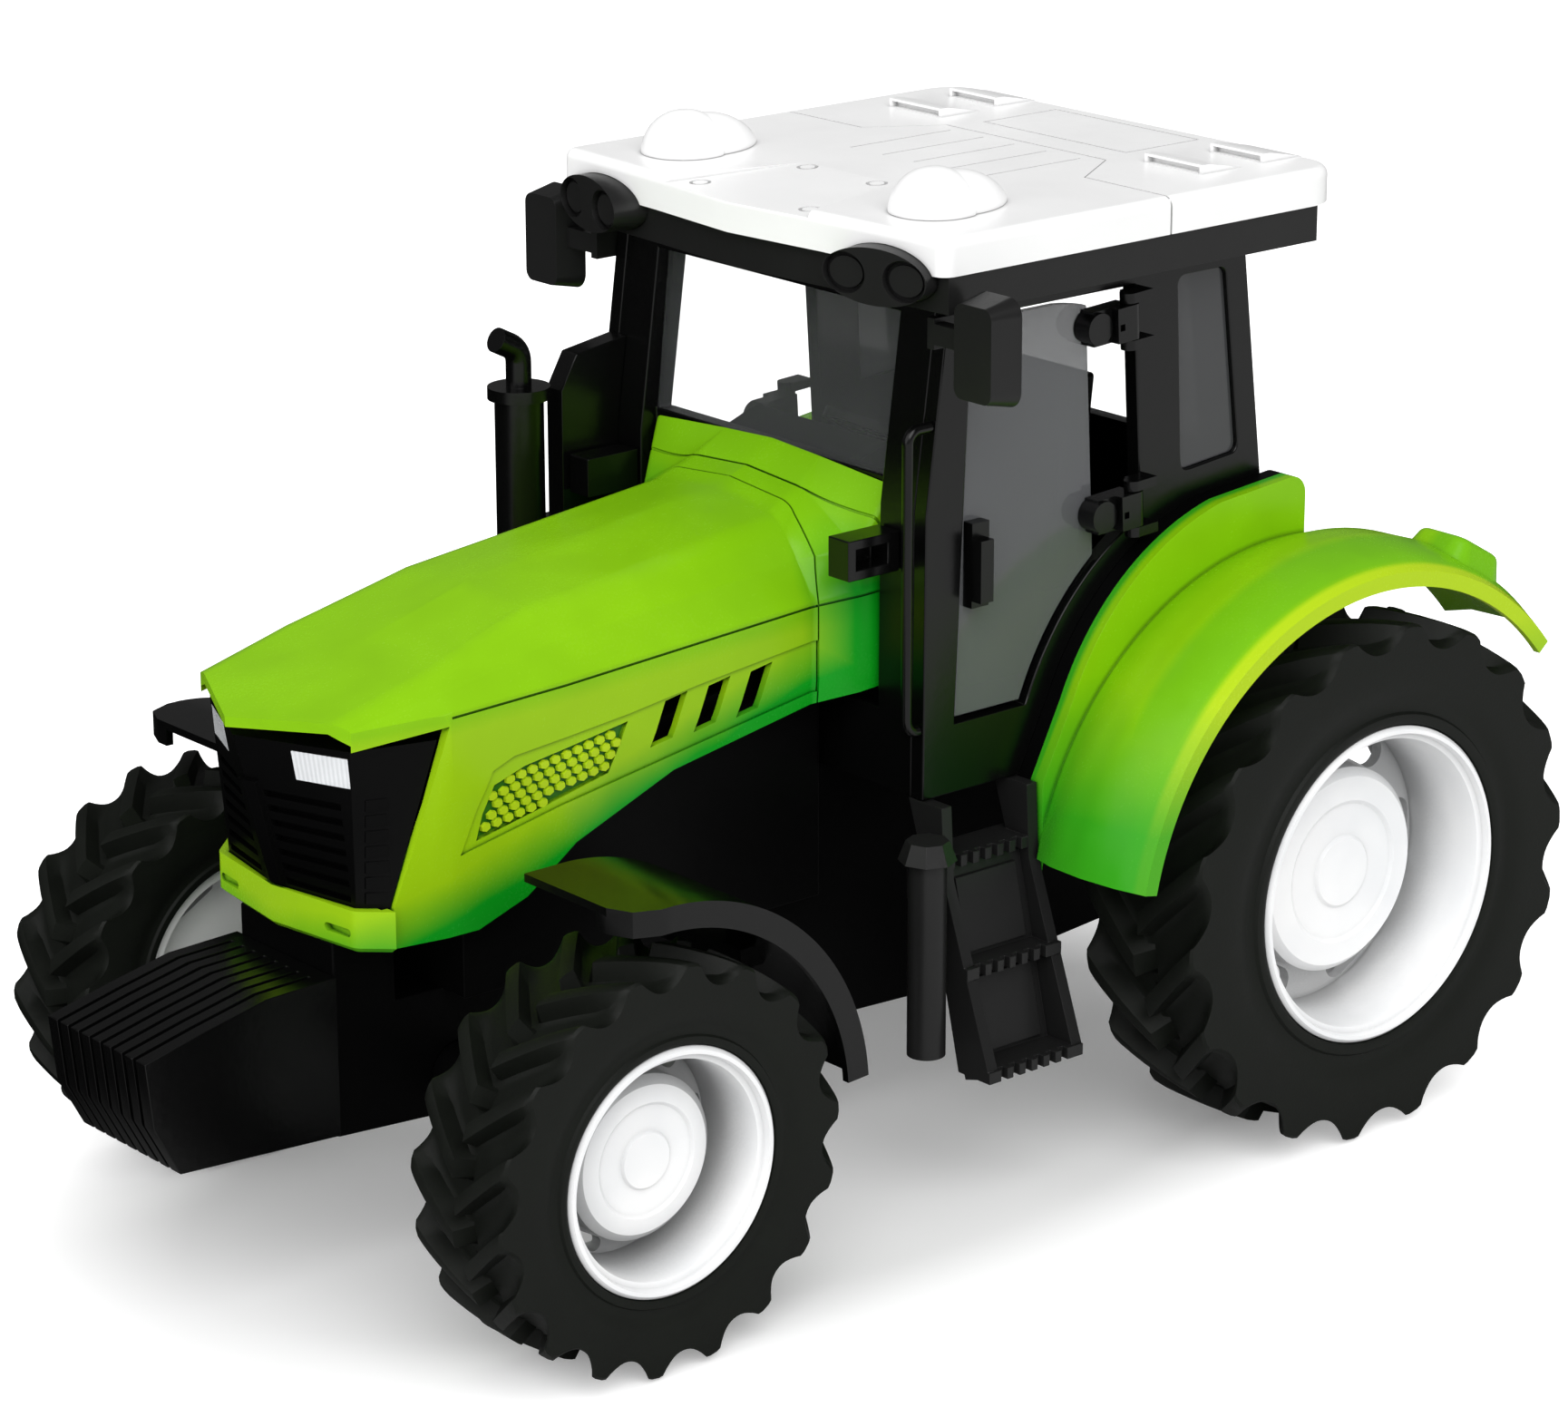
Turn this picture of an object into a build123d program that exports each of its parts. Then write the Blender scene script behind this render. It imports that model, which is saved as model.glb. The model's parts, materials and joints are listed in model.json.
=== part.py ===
"""Toy farm tractor with a glazed cab, opening doors and four free-rolling wheels.

Frame: +X forward, +Y left, +Z up, in millimetres. The origin lies on the floor under the
middle of the tractor's length. Sketches measure x from the rear axle, through the three
plane functions below. Left-hand pieces are modelled and mirrored for the right-hand side.
"""
import os
from math import atan2, cos, degrees, radians, sin

from build123d import *

# ---- driving dimensions -----------------------------------------------------------------
WHEELBASE = 180.0
WALL = 2.0                 # moulded green and black panels
FIT = 0.1                  # gap between pieces that are glued or clipped together
RUN = 0.05                 # radial clearance of a turning bore on its pin
SEAM = 0.3                 # visible gap between two body panels

# cab: half width over the side frames, heights and stations
CAB_HALF = 50.0
SIDE_T = 3.5               # side frames
FLOOR_Z = 84.0
FLOOR_T = 3.0
CAB_TOP_Z = 181.8          # underside of the frame that carries the roof
SILL_Z = 98.0              # bottom of the door openings
CAB_FRONT_X = 93.0
CAB_REAR_X = 2.0
GLASS_T = 1.4
DOOR_GAP = 1.0             # between a door and its opening
WINDOW_TOP_Z = CAB_TOP_Z - 3.8
PILLAR_IN = CAB_HALF - 13.4    # inner edge of the front pillars

# wheels: x, tyre radius, rim radius, tyre width, outer face from the centre line,
# hub drum radius, depth of the drum's face behind the rim's edge
TYRE_GAP = 4.5             # between the cab's side and the rear tyres
REAR_WIDTH = 31.0
REAR_WHEEL = dict(x=0.0, tyre_r=54.5, rim_r=33.1, width=REAR_WIDTH,
                  face_y=CAB_HALF + TYRE_GAP + REAR_WIDTH, hub_r=21.5, inset=11.0)
FRONT_WHEEL = dict(x=WHEELBASE, tyre_r=40.1, rim_r=24.1, width=27.0, face_y=80.4, hub_r=16.0, inset=8.0)
AXLE_R = 2.5               # stub shafts that the wheels turn on
WEB = 2.5                  # wall that joins a hub drum to its rim
LOBES = 6                  # gaps round a hub drum

# roof
ROOF_FRAME_H = 7.2
ROOF_Z = CAB_TOP_Z + ROOF_FRAME_H
ROOF_T = 7.3
ROOF_WALL = 2.5
ROOF_HALF = CAB_HALF + 7.8
ROOF_FRONT_X = CAB_FRONT_X + 7.0
ROOF_REAR_X = CAB_REAR_X - 14.0
GROOVE_W = 0.5             # seams pressed into the hood, cowl and roof
GROOVE_D = 0.5

# hood and nose
HOOD_HALF = 30.0           # side panels
HOOD_REAR_X = CAB_FRONT_X + 11.0
NOSE_X = WHEELBASE + 40.0  # tip of the prow
LIP_Z = 72.8               # underside of the green lip below the grille
LIP_H = 8.2

# running gear
CHASSIS_HALF = 15.0
ENGINE_HALF = HOOD_HALF - 7.0
WEIGHT_HALF = 16.2
WEIGHT_FRONT_X = WHEELBASE + 70.8
WEIGHT_REAR_X = WHEELBASE + 28.3
PLATES = 9

# rear fenders: arch centre and radii, seen from the side
ARCH_X = 3.0
ARCH_Z = REAR_WHEEL["tyre_r"]
ARCH_R = REAR_WHEEL["tyre_r"] + 11.0    # outer edge of the crowned band
ARCH_FRONT_X = ARCH_X + ARCH_R          # the door opening and the steps start from here
CREST_R = ARCH_R + 4.5     # highest line of the band
FENDER_OUT = REAR_WHEEL["face_y"]
STEP_Y = CAB_HALF + 7.0    # outer face of the raised inner band
SEAL_T = 3.4               # black seal between the raised band and the cab
WAIST_Z = ARCH_Z + CREST_R + 9.5        # top of the raised band, where the side windows start

# doors
HINGE_Y = CAB_HALF + 2.6
PIN_R = 1.0
KNUCKLE_R = 2.0

# tow hitch
HITCH_BORE_R = 2.0
HITCH_T = 4.0

REAR_X = (REAR_WHEEL["tyre_r"] - WEIGHT_FRONT_X) / 2


# ---- planes and helpers -----------------------------------------------------------------
def side_plane(y=0.0):
    """Local x runs forward from the rear axle, local y up; extrudes towards the right."""
    return Plane(origin=(REAR_X, y, 0), x_dir=(1, 0, 0), z_dir=(0, -1, 0))


def cross_plane(x, z=0.0):
    """Local x runs to the left, local y up from z; extrudes forward."""
    return Plane(origin=(REAR_X + x, 0, z), x_dir=(0, 1, 0), z_dir=(1, 0, 0))


def plan_plane(z):
    """Local x runs forward from the rear axle, local y to the left; extrudes up."""
    return Plane(origin=(REAR_X, 0, z), x_dir=(1, 0, 0), z_dir=(0, 0, 1))


def write(part, name):
    part.label = name
    export_step(part, f"parts/{name}.step")


def write_pair(part, name):
    write(part, name + "_left")
    write(part.mirror(Plane.XZ), name + "_right")


def write_both(part, name):
    """The left piece and its mirror image as one node of two solids."""
    write(part + part.mirror(Plane.XZ), name)


def block(x, y, z):
    """A box from its low and high corners, x measured from the rear axle."""
    size = [high - low for low, high in (x, y, z)]
    middle = [(low + high) / 2 for low, high in (x, y, z)]
    return Pos(REAR_X + middle[0], middle[1], middle[2]) * Box(*size, mode=Mode.PRIVATE)


def both_sides(half_points):
    """A closed outline from its left half, listed from the rear to the centre line."""
    return half_points + [(x, -y) for x, y in reversed(half_points) if abs(y) > 1e-6]


os.makedirs("parts", exist_ok=True)


# ---- wheels -----------------------------------------------------------------------------
def make_wheel(name, x, tyre_r, rim_r, width, face_y, hub_r, inset):
    """A hollow tyre on a deep dished rim with a drum hub and a blind axle bore."""
    section = cross_plane(x, tyre_r)
    axle = Axis((REAR_X + x, 0, tyre_r), (0, 1, 0))
    back_y = face_y - width
    bead_r = rim_r + FIT
    side_t = 4.0
    tread_t = 7.0
    shoulder = 5.0
    hub_face = face_y - inset
    hub_depth = 9.0
    web_y = hub_face - hub_depth
    barrel_r = rim_r - 3.6

    with BuildPart() as tyre:
        with BuildSketch(section):
            with BuildLine():
                Polyline(
                    (back_y + 1.5, bead_r),
                    (back_y, bead_r + 6),
                    (back_y, tyre_r - shoulder),
                    (back_y + shoulder, tyre_r),
                    (face_y - shoulder, tyre_r),
                    (face_y, tyre_r - shoulder),
                    (face_y, bead_r + 6),
                    (face_y - 0.6, bead_r),
                    close=True,
                )
            make_face()
            with Locations(((back_y + face_y) / 2, (bead_r + tyre_r - tread_t) / 2 - 0.5)):
                Rectangle(width - 2 * side_t, tyre_r - tread_t - bead_r + 1, mode=Mode.SUBTRACT)
        revolve(axis=axle)
    write_pair(tyre.part, name + "_tyre")

    with BuildPart() as rim:
        with BuildSketch(section):
            with BuildLine():
                Polyline(
                    (back_y + 2, rim_r),
                    (face_y - 0.7, rim_r),
                    (face_y, rim_r - 0.7),
                    (face_y, rim_r - 1.5),
                    (face_y - 1.5, rim_r - 1.9),
                    (face_y - 1.9, rim_r - 2.9),
                    (face_y - 3.4, rim_r - 3.2),
                    (web_y, barrel_r),
                    (back_y + 2, rim_r - 2.5),
                    close=True,
                )
            make_face()
        revolve(axis=axle)
        with BuildSketch(section):
            with BuildLine():
                Polyline(
                    (web_y - WEB, AXLE_R + RUN),
                    (web_y - WEB, rim_r - 2.6),
                    (web_y, rim_r - 2.6),
                    (web_y, hub_r),
                    (hub_face - 2.2, hub_r),
                    (hub_face - 0.6, hub_r - 1.6),
                    (hub_face, hub_r * 0.70),
                    (hub_face - 0.5, hub_r * 0.66),
                    (hub_face - 0.5, hub_r * 0.36),
                    (hub_face, hub_r * 0.33),
                    (hub_face, 0),
                    (hub_face - 3, 0),
                    (hub_face - 3, AXLE_R + RUN),
                    close=True,
                )
            make_face()
        revolve(axis=axle)
        window_r = (hub_r + barrel_r) / 2
        hub_plane = Plane(origin=(REAR_X + x, web_y, tyre_r), x_dir=(1, 0, 0), z_dir=(0, -1, 0))
        with BuildSketch(hub_plane):
            with PolarLocations(window_r, LOBES):
                SlotOverall(window_r * 0.62, barrel_r - hub_r - 1.6, rotation=90)
        extrude(amount=WEB, mode=Mode.SUBTRACT)
    write_pair(rim.part, name + "_rim")


for wheel_name, wheel in (("rear", REAR_WHEEL), ("front", FRONT_WHEEL)):
    make_wheel(wheel_name, **wheel)


# ---- axles ------------------------------------------------------------------------------
def make_axle(name, wheel, flange_r, housing_r, core_half):
    """A turned housing with stub shafts that end inside the hub drums."""
    stub_end = wheel["face_y"] - wheel["inset"] - 3.6
    flange_y = wheel["face_y"] - wheel["width"] - 1.0
    with BuildPart() as axle:
        with BuildSketch(cross_plane(wheel["x"], wheel["tyre_r"])):
            with BuildLine():
                Polyline(
                    (0, 0),
                    (0, housing_r),
                    (core_half, housing_r),
                    (flange_y - 4, flange_r),
                    (flange_y, flange_r),
                    (flange_y, AXLE_R),
                    (stub_end, AXLE_R),
                    (stub_end, 0),
                    close=True,
                )
            make_face()
            mirror(about=Plane.YZ)
        revolve(axis=Axis((REAR_X + wheel["x"], 0, wheel["tyre_r"]), (0, 1, 0)))
    write(axle.part, name)


make_axle("rear_axle", REAR_WHEEL, flange_r=7.0, housing_r=9.0, core_half=CHASSIS_HALF)
make_axle("front_axle", FRONT_WHEEL, flange_r=5.0, housing_r=6.0, core_half=CHASSIS_HALF)

# ---- chassis and engine -----------------------------------------------------------------
ENGINE_Z = 58.0
NOSE_BLOCK_X = WEIGHT_REAR_X - FIT
with BuildPart() as chassis:
    with BuildSketch(side_plane()):
        with BuildLine():
            Polyline(
                (-36, 40),
                (-36, 74),
                (-24, FLOOR_Z),
                (CAB_FRONT_X, FLOOR_Z),
                (CAB_FRONT_X + 2, ENGINE_Z),
                (WHEELBASE + 14, ENGINE_Z),
                (WHEELBASE + 14, LIP_Z - FIT),
                (NOSE_BLOCK_X, LIP_Z - FIT),
                (NOSE_BLOCK_X, 34),
                (WHEELBASE - 30, 30),
                (60, 26),
                (-10, 32),
                close=True,
            )
        make_face()
    extrude(amount=CHASSIS_HALF, both=True)
    for wheel, bore_r in ((REAR_WHEEL, 9.0), (FRONT_WHEEL, 6.0)):
        with BuildSketch(side_plane()):
            with Locations((wheel["x"], wheel["tyre_r"])):
                Circle(bore_r + FIT)
        extrude(amount=CHASSIS_HALF, both=True, mode=Mode.SUBTRACT)
write(chassis.part, "chassis")

with BuildPart() as engine:
    with BuildSketch(side_plane()):
        with BuildLine():
            Polyline(
                (CAB_FRONT_X + 3, ENGINE_Z),
                (CAB_FRONT_X + 3, 110),
                (WHEELBASE - 20, 100),
                (WHEELBASE + 4, 88),
                (WHEELBASE + 4, ENGINE_Z),
                close=True,
            )
        make_face()
    extrude(amount=ENGINE_HALF, both=True)
write(engine.part, "engine_block")

# ---- hood and cowl ----------------------------------------------------------------------
# stations of the shell that both are cut from: x, half width of the side panels, height of
# the side crease, half width and height of the shoulder, the same of the ridge, rise of the crown
HOOD_SECTIONS = [
    (CAB_FRONT_X - 4.3, PILLAR_IN - 0.9, 124.0, PILLAR_IN - 0.3, 143.6, 14.5, 145.2, 0.8),
    (CAB_FRONT_X + 2.0, PILLAR_IN - 2.4, 123.2, PILLAR_IN - 4.0, 131.5, 16.5, 140.6, 1.2),
    (HOOD_REAR_X, HOOD_HALF, 121.7, HOOD_HALF - 4.6, 129.3, HOOD_HALF - 10.6, 136.6, 2.0),
    (WHEELBASE - 16, HOOD_HALF, 118.3, HOOD_HALF - 4.6, 124.5, HOOD_HALF - 10.0, 129.8, 1.6),
    (WHEELBASE + 10, HOOD_HALF - 0.6, 117.2, HOOD_HALF - 4.2, 120.5, HOOD_HALF - 8.5, 122.9, 1.0),
    (NOSE_X + 2, HOOD_HALF - 6.0, 113.0, HOOD_HALF - 7.6, 113.9, HOOD_HALF - 9.5, 114.5, 0.8),
]
CREASE_R = 1.5
SHOULDER_R = 1.5
RIDGE_R = 8.0
HOOD_BASE_Z = 60.0
TUCK = 4.0                 # how far the side panels lean in at their foot
# seam between cowl and hood from the side: x, z
HOOD_SEAM = [(HOOD_REAR_X - 1.2, 40.0), (HOOD_REAR_X - 1.2, 122.0), (HOOD_REAR_X - 4.4, 138.0),
             (HOOD_REAR_X - 4.4, 160.0)]
# seam of the raised panel under the windshield, left half from the pillar: x, y, z
BAND_SEAM = [(CAB_FRONT_X - 2.5, PILLAR_IN + 0.5, 135.6), (CAB_FRONT_X + 2.3, 16.5, 140.6),
             (CAB_FRONT_X + 2.3, 0.0, 141.6)]
# lower edge of the hood and cowl from the cab forward: x, z
LOWER_EDGE = [(CAB_FRONT_X - 5, 104), (WHEELBASE - 42, 95), (WHEELBASE - 19, 85.5), (WHEELBASE - 8, 77),
              (WHEELBASE + 3, LIP_Z), (NOSE_X + 5, LIP_Z)]
# prow seen from above, left half: x, y
PROW = [(WHEELBASE + 10, HOOD_HALF - 0.6), (WHEELBASE + 29, HOOD_HALF - 5.7), (NOSE_X, 0.0)]
# recessed panel on each side of the hood, from its rear lower corner upward: x, z
SIDE_PANEL = [(HOOD_REAR_X - 5, 104.3), (HOOD_REAR_X - 5, 114.5), (WHEELBASE - 47.6, 111.0),
              (WHEELBASE - 30.8, 108.8), (WHEELBASE - 3.8, 106.2), (WHEELBASE + 1.1, 104.3),
              (WHEELBASE + 4.7, 97.5), (WHEELBASE + 8, 88.9), (WHEELBASE - 15.5, 93.9)]
# vent pocket in that panel: x, z
VENT = [(WHEELBASE + 4.2, 90.9), (WHEELBASE + 3, 96), (WHEELBASE + 0.5, 101.3), (WHEELBASE - 6.5, 103.6),
        (WHEELBASE - 30.8, 107.2), (WHEELBASE - 26.3, 97.8)]
VENT_D = 1.2               # depth of the pocket below the side panel's face
# three slots through each side of the hood: x and z of the upper front corner
SLOTS = [(WHEELBASE - 39.9, 109.3), (WHEELBASE - 50.5, 110.1), (WHEELBASE - 61.0, 110.8)]
SLOT_W = 5.4
SLOT_H = 8.6
SLOT_LEAN = 3.6            # how far a slot's foot lies in front of its head
CUT = HOOD_HALF + 15       # reach of the side cuts from the centre line


def hood_section(x, half, crease_z, shoulder_y, shoulder_z, ridge_y, ridge_z, crown, wall):
    """The outline of the shell at one station, moved inward by a wall."""
    left = [
        (half - TUCK - wall, HOOD_BASE_Z - wall),
        (half - wall, crease_z - 16),
        (half - wall, crease_z - wall / 2),
        (shoulder_y - 0.9 * wall, shoulder_z - 0.9 * wall),
        (ridge_y - wall / 2, ridge_z - wall),
        (0, ridge_z + crown - wall),
    ]
    outline = left + [(-y, z) for y, z in reversed(left[:-1])]
    half_radii = [0, 0, CREASE_R, SHOULDER_R, RIDGE_R]
    with BuildSketch(cross_plane(x)) as sketch:
        with BuildLine():
            if wall:
                Polyline(*outline, close=True)
            else:
                FilletPolyline(*outline, radius=half_radii + [0] + half_radii[::-1], close=True)
        make_face()
    return sketch.sketch


def hood_loft(wall):
    return loft([hood_section(*station, wall) for station in HOOD_SECTIONS], ruled=True)


def side_cut(outline):
    """A side-view outline cut right across the hood."""
    with BuildPart(mode=Mode.PRIVATE) as cut:
        with BuildSketch(side_plane()):
            with BuildLine():
                Polyline(*outline, close=True)
            make_face()
        extrude(amount=CUT, both=True)
    return cut.part


def strip(line, width):
    """A side-view line as the outline of a narrow strip below it."""
    return line + [(x, z - width) for x, z in reversed(line)]


def seam_slab(start, end, outward):
    """A slab as thick as a groove, through a line given as x, y, z and standing outward."""
    first, last = (Vector(REAR_X + x, y, z) for x, y, z in (start, end))
    line = last - first
    with BuildPart(mode=Mode.PRIVATE) as slab:
        with BuildSketch(Plane(origin=(first + last) / 2, x_dir=line, z_dir=line.cross(Vector(*outward)))):
            Rectangle(line.length, 8)
        extrude(amount=GROOVE_W / 2, both=True)
    return slab.part


hood_block = hood_loft(0)
hood_shell = hood_block - hood_loft(WALL)
groove_skin = hood_block - hood_loft(GROOVE_D)
vent_skin = hood_block - hood_loft(VENT_D)
crease_line = [(station[0], station[2] - 0.6) for station in HOOD_SECTIONS[:5]]
below_edge = side_cut(LOWER_EDGE + [(NOSE_X + 5, 40), (CAB_FRONT_X - 5, 40)])
hood_side = hood_shell - below_edge - (side_cut(strip(crease_line, GROOVE_W)) & groove_skin)

with BuildPart() as hood:
    add(hood_side)
    add(side_cut([(x + SEAM / 2, z) for x, z in HOOD_SEAM] + [(NOSE_X + 5, 160), (NOSE_X + 5, 40)]),
        mode=Mode.INTERSECT)
    # the prow is cut from above
    with BuildSketch(plan_plane(HOOD_BASE_Z - 5)):
        with BuildLine():
            Polyline(*both_sides([(CAB_FRONT_X, CUT), (WHEELBASE + 8, CUT)] + PROW), close=True)
        make_face()
    extrude(amount=120, mode=Mode.INTERSECT)
    # grille opening
    add(side_cut([(WHEELBASE + 10.5, 114.8), (NOSE_X + 5, 110.5), (NOSE_X + 5, 50), (WHEELBASE + 22, 50),
                  (WHEELBASE + 21.5, LIP_Z + LIP_H)]), mode=Mode.SUBTRACT)
    # side panels with their vent pockets and slots
    add(side_cut(SIDE_PANEL) & groove_skin, mode=Mode.SUBTRACT)
    add(side_cut(VENT) & vent_skin, mode=Mode.SUBTRACT)
    for x, z in SLOTS:
        add(side_cut([(x, z), (x - SLOT_W, z + 0.9), (x - SLOT_W + SLOT_LEAN, z + 0.9 - SLOT_H),
                      (x + SLOT_LEAN, z - SLOT_H)]), mode=Mode.SUBTRACT)
write(hood.part, "hood")

with BuildPart() as cowl:
    add(hood_side)
    behind_seam = [(CAB_FRONT_X - 10, 160), (CAB_FRONT_X - 10, 40)]
    add(side_cut([(x - SEAM / 2, z) for x, z in HOOD_SEAM] + behind_seam), mode=Mode.INTERSECT)
    for leg, outward in ((BAND_SEAM[:2], (0.3, 0.6, 0.7)), (BAND_SEAM[1:], (0.3, 0, 1))):
        groove = seam_slab(*leg, outward) & groove_skin
        add(groove + groove.mirror(Plane.XZ), mode=Mode.SUBTRACT)
write(cowl.part, "cowl")

# ---- grille, headlights and lip ---------------------------------------------------------
GRILLE_TOP_Z = 112.0
GRILLE_FOOT_Z = LIP_Z + 3.2
# left half seen from above: rear, inner and outer corner of the step behind the hood's edge,
# corner of the prow, tip: x, y
GRILLE_TOP = [(WHEELBASE + 6, HOOD_HALF - 5.8), (WHEELBASE + 11.8, HOOD_HALF - 5.8),
              (WHEELBASE + 11.8, HOOD_HALF - 3.0), (WHEELBASE + 28.2, HOOD_HALF - 7.4), (NOSE_X - 1.6, 0.0)]
GRILLE_FOOT = [(WHEELBASE + 12, HOOD_HALF - 8.2), (WHEELBASE + 23.4, HOOD_HALF - 8.2),
               (WHEELBASE + 23.4, HOOD_HALF - 5.6), (WHEELBASE + 26.2, HOOD_HALF - 9.7),
               (WHEELBASE + 28.8, 0.0)]
GRILLE_CUT = 1.6           # depth of slots and lamp pockets
POST_HALF = 3.2            # centre post between the two banks of slats
POST_PROUD = 1.0
SLATS = 7
SLAT_Z = (81.8, 103.0)
SLAT_OUT = HOOD_HALF - 10.5
LAMP_Y = (HOOD_HALF - 19.2, HOOD_HALF - 8.0)
LAMP_Z = (104.6, 110.6)


def grille_body(grow):
    """The leaning prow of the grille, with its front faces moved forward by some growth."""
    faces = []
    for z, outline in ((GRILLE_FOOT_Z, GRILLE_FOOT), (GRILLE_TOP_Z, GRILLE_TOP)):
        half = outline[:3] + [(x + grow, y) for x, y in outline[3:]]
        with BuildSketch(plan_plane(z)) as sketch:
            with BuildLine():
                Polyline(*both_sides(half), close=True)
            make_face()
        faces.append(sketch.sketch)
    return loft(faces, ruled=True)


grille_solid = grille_body(0)
grille_core = grille_body(-GRILLE_CUT)
grille_proud = grille_body(POST_PROUD)
lamp_core = grille_body(FIT - GRILLE_CUT)
grille_room = Pos(0, 0, -FIT) * grille_body(2 * FIT)
with BuildPart() as grille:
    add(grille_solid)
    pitch = (SLAT_Z[1] - SLAT_Z[0]) / SLATS
    add(block((WHEELBASE + 20, NOSE_X), (0.4 - POST_HALF, POST_HALF - 0.4), SLAT_Z) & grille_proud)
    for i in range(SLATS):
        low = SLAT_Z[0] + pitch * i
        for side in (1, -1):
            slat_y = sorted((side * POST_HALF, side * SLAT_OUT))
            stud_y = sorted((side * (SLAT_OUT + 1), side * (SLAT_OUT + 10)))
            slot = block((WHEELBASE + 5, NOSE_X), slat_y, (low, low + pitch * 0.45))
            stud = block((WHEELBASE + 21.3, WHEELBASE + 25.3), stud_y, (low, low + pitch * 0.72))
            add(slot - grille_core, mode=Mode.SUBTRACT)
            add(stud & grille_proud)
    for y in (LAMP_Y, (-LAMP_Y[1], -LAMP_Y[0])):
        add(block((WHEELBASE + 5, NOSE_X), y, LAMP_Z) - grille_core, mode=Mode.SUBTRACT)
write(grille.part, "grille")

with BuildPart() as headlight:
    lens_y = (LAMP_Y[0] + FIT, LAMP_Y[1] - FIT)
    lens_z = (LAMP_Z[0] + FIT, LAMP_Z[1] - FIT)
    add(block((WHEELBASE + 5, NOSE_X), lens_y, lens_z))
    add(grille_solid, mode=Mode.INTERSECT)
    add(lamp_core, mode=Mode.SUBTRACT)
write_both(headlight.part, "headlights")

# lip below the grille seen from above, left half: x, y
LIP_PLAN = [(WHEELBASE + 22.3, HOOD_HALF - 2.8), (WHEELBASE + 28, HOOD_HALF - 8.0), (WHEELBASE + 31, 0.0)]
LIP_CORNER_R = 3.0
with BuildPart() as lip:
    with BuildSketch(plan_plane(LIP_Z)):
        with BuildLine():
            Polyline(*both_sides(LIP_PLAN), close=True)
        make_face()
    extrude(amount=LIP_H)
    fillet(lip.edges().filter_by(Axis.Z).filter_by_position(
        Axis.X, REAR_X + WHEELBASE + 27, REAR_X + WHEELBASE + 29), LIP_CORNER_R)
    chamfer(lip.faces().sort_by(Axis.Z)[0].edges().filter_by_position(
        Axis.X, REAR_X + WHEELBASE + 24, REAR_X + WHEELBASE + 40), 1.0)
    add(grille_room, mode=Mode.SUBTRACT)
    # clearance behind the grille's step
    step_y = GRILLE_FOOT[2][1] + 0.2
    step_z = (GRILLE_FOOT_Z - FIT, LIP_Z + LIP_H + 1)
    add(block((WHEELBASE + 20, WHEELBASE + 23.6), (-step_y, step_y), step_z), mode=Mode.SUBTRACT)
    # finger slot in each half of the lip
    for y in (HOOD_HALF - 12.5, 12.5 - HOOD_HALF):
        with BuildSketch(cross_plane(WHEELBASE + 27.6, LIP_Z + 3.6)):
            with Locations((y, 0)):
                SlotOverall(7.0, 1.6)
        extrude(amount=5, mode=Mode.SUBTRACT)
write(lip.part, "nose_lip")

# ---- front weights ----------------------------------------------------------------------
# outline from the side, from the rear foot round the top: x, z
WEIGHT_SIDE = [
    (WEIGHT_REAR_X, 34.8),
    (WEIGHT_REAR_X, 66.6),
    (WHEELBASE + 44.0, 66.1),
    (WHEELBASE + 57.6, 63.3),
    (WEIGHT_FRONT_X, 60.2),
    (WEIGHT_FRONT_X - 1.4, 46.9),
    (WEIGHT_FRONT_X - 6.7, 36.9),
]
PLATE_GAP = 1.0
PLATE_GROOVE = 2.5         # depth of the gap between two plates
with BuildPart() as weights:
    with BuildSketch(side_plane(WEIGHT_HALF)) as weight_face:
        with BuildLine():
            Polyline(*WEIGHT_SIDE, close=True)
        make_face()
    extrude(amount=2 * WEIGHT_HALF)
    plate_pitch = 2 * WEIGHT_HALF / PLATES
    for i in range(1, PLATES):
        with BuildSketch(side_plane(WEIGHT_HALF - plate_pitch * i + PLATE_GAP / 2)):
            add(weight_face.sketch_local)
            offset(weight_face.sketch_local, amount=-PLATE_GROOVE, mode=Mode.SUBTRACT)
            with Locations((WEIGHT_REAR_X, 50)):
                Rectangle(2 * PLATE_GROOVE + 2, 60, mode=Mode.SUBTRACT)
        extrude(amount=PLATE_GAP, mode=Mode.SUBTRACT)
write(weights.part, "front_weights")

# ---- front fenders ----------------------------------------------------------------------
FRONT_ARCH_R = 48.0
FRONT_LIP = 5.0
FRONT_FENDER_Y = (48.0, 79.0)
FENDER_TAIL = 10.0         # level stretch in front of the arch
FENDER_CORNER = 7.0        # cut of the outer front corner
FENDER_NOSE_X = WHEELBASE + FENDER_TAIL - 1.7
# that cut seen from above, from the inside to the outside: x, y; and 1.6 inside it
FENDER_CUT = [(FENDER_NOSE_X, FRONT_FENDER_Y[1] - FENDER_CORNER),
              (FENDER_NOSE_X - FENDER_CORNER * 0.3, FRONT_FENDER_Y[1] - FENDER_CORNER * 0.3),
              (FENDER_NOSE_X - FENDER_CORNER, FRONT_FENDER_Y[1])]
FENDER_CUT_IN = [(FENDER_CUT[2][0], FENDER_CUT[2][1] - 1.6), (FENDER_CUT[1][0] - 1.1, FENDER_CUT[1][1] - 1.1),
                 (FENDER_CUT[0][0] - 1.6, FENDER_CUT[0][1] - 3), (FENDER_CUT[0][0], FENDER_CUT[0][1] - 3)]
FENDER_TOP_Z = 43.0 + FRONT_ARCH_R * sin(radians(92))


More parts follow.
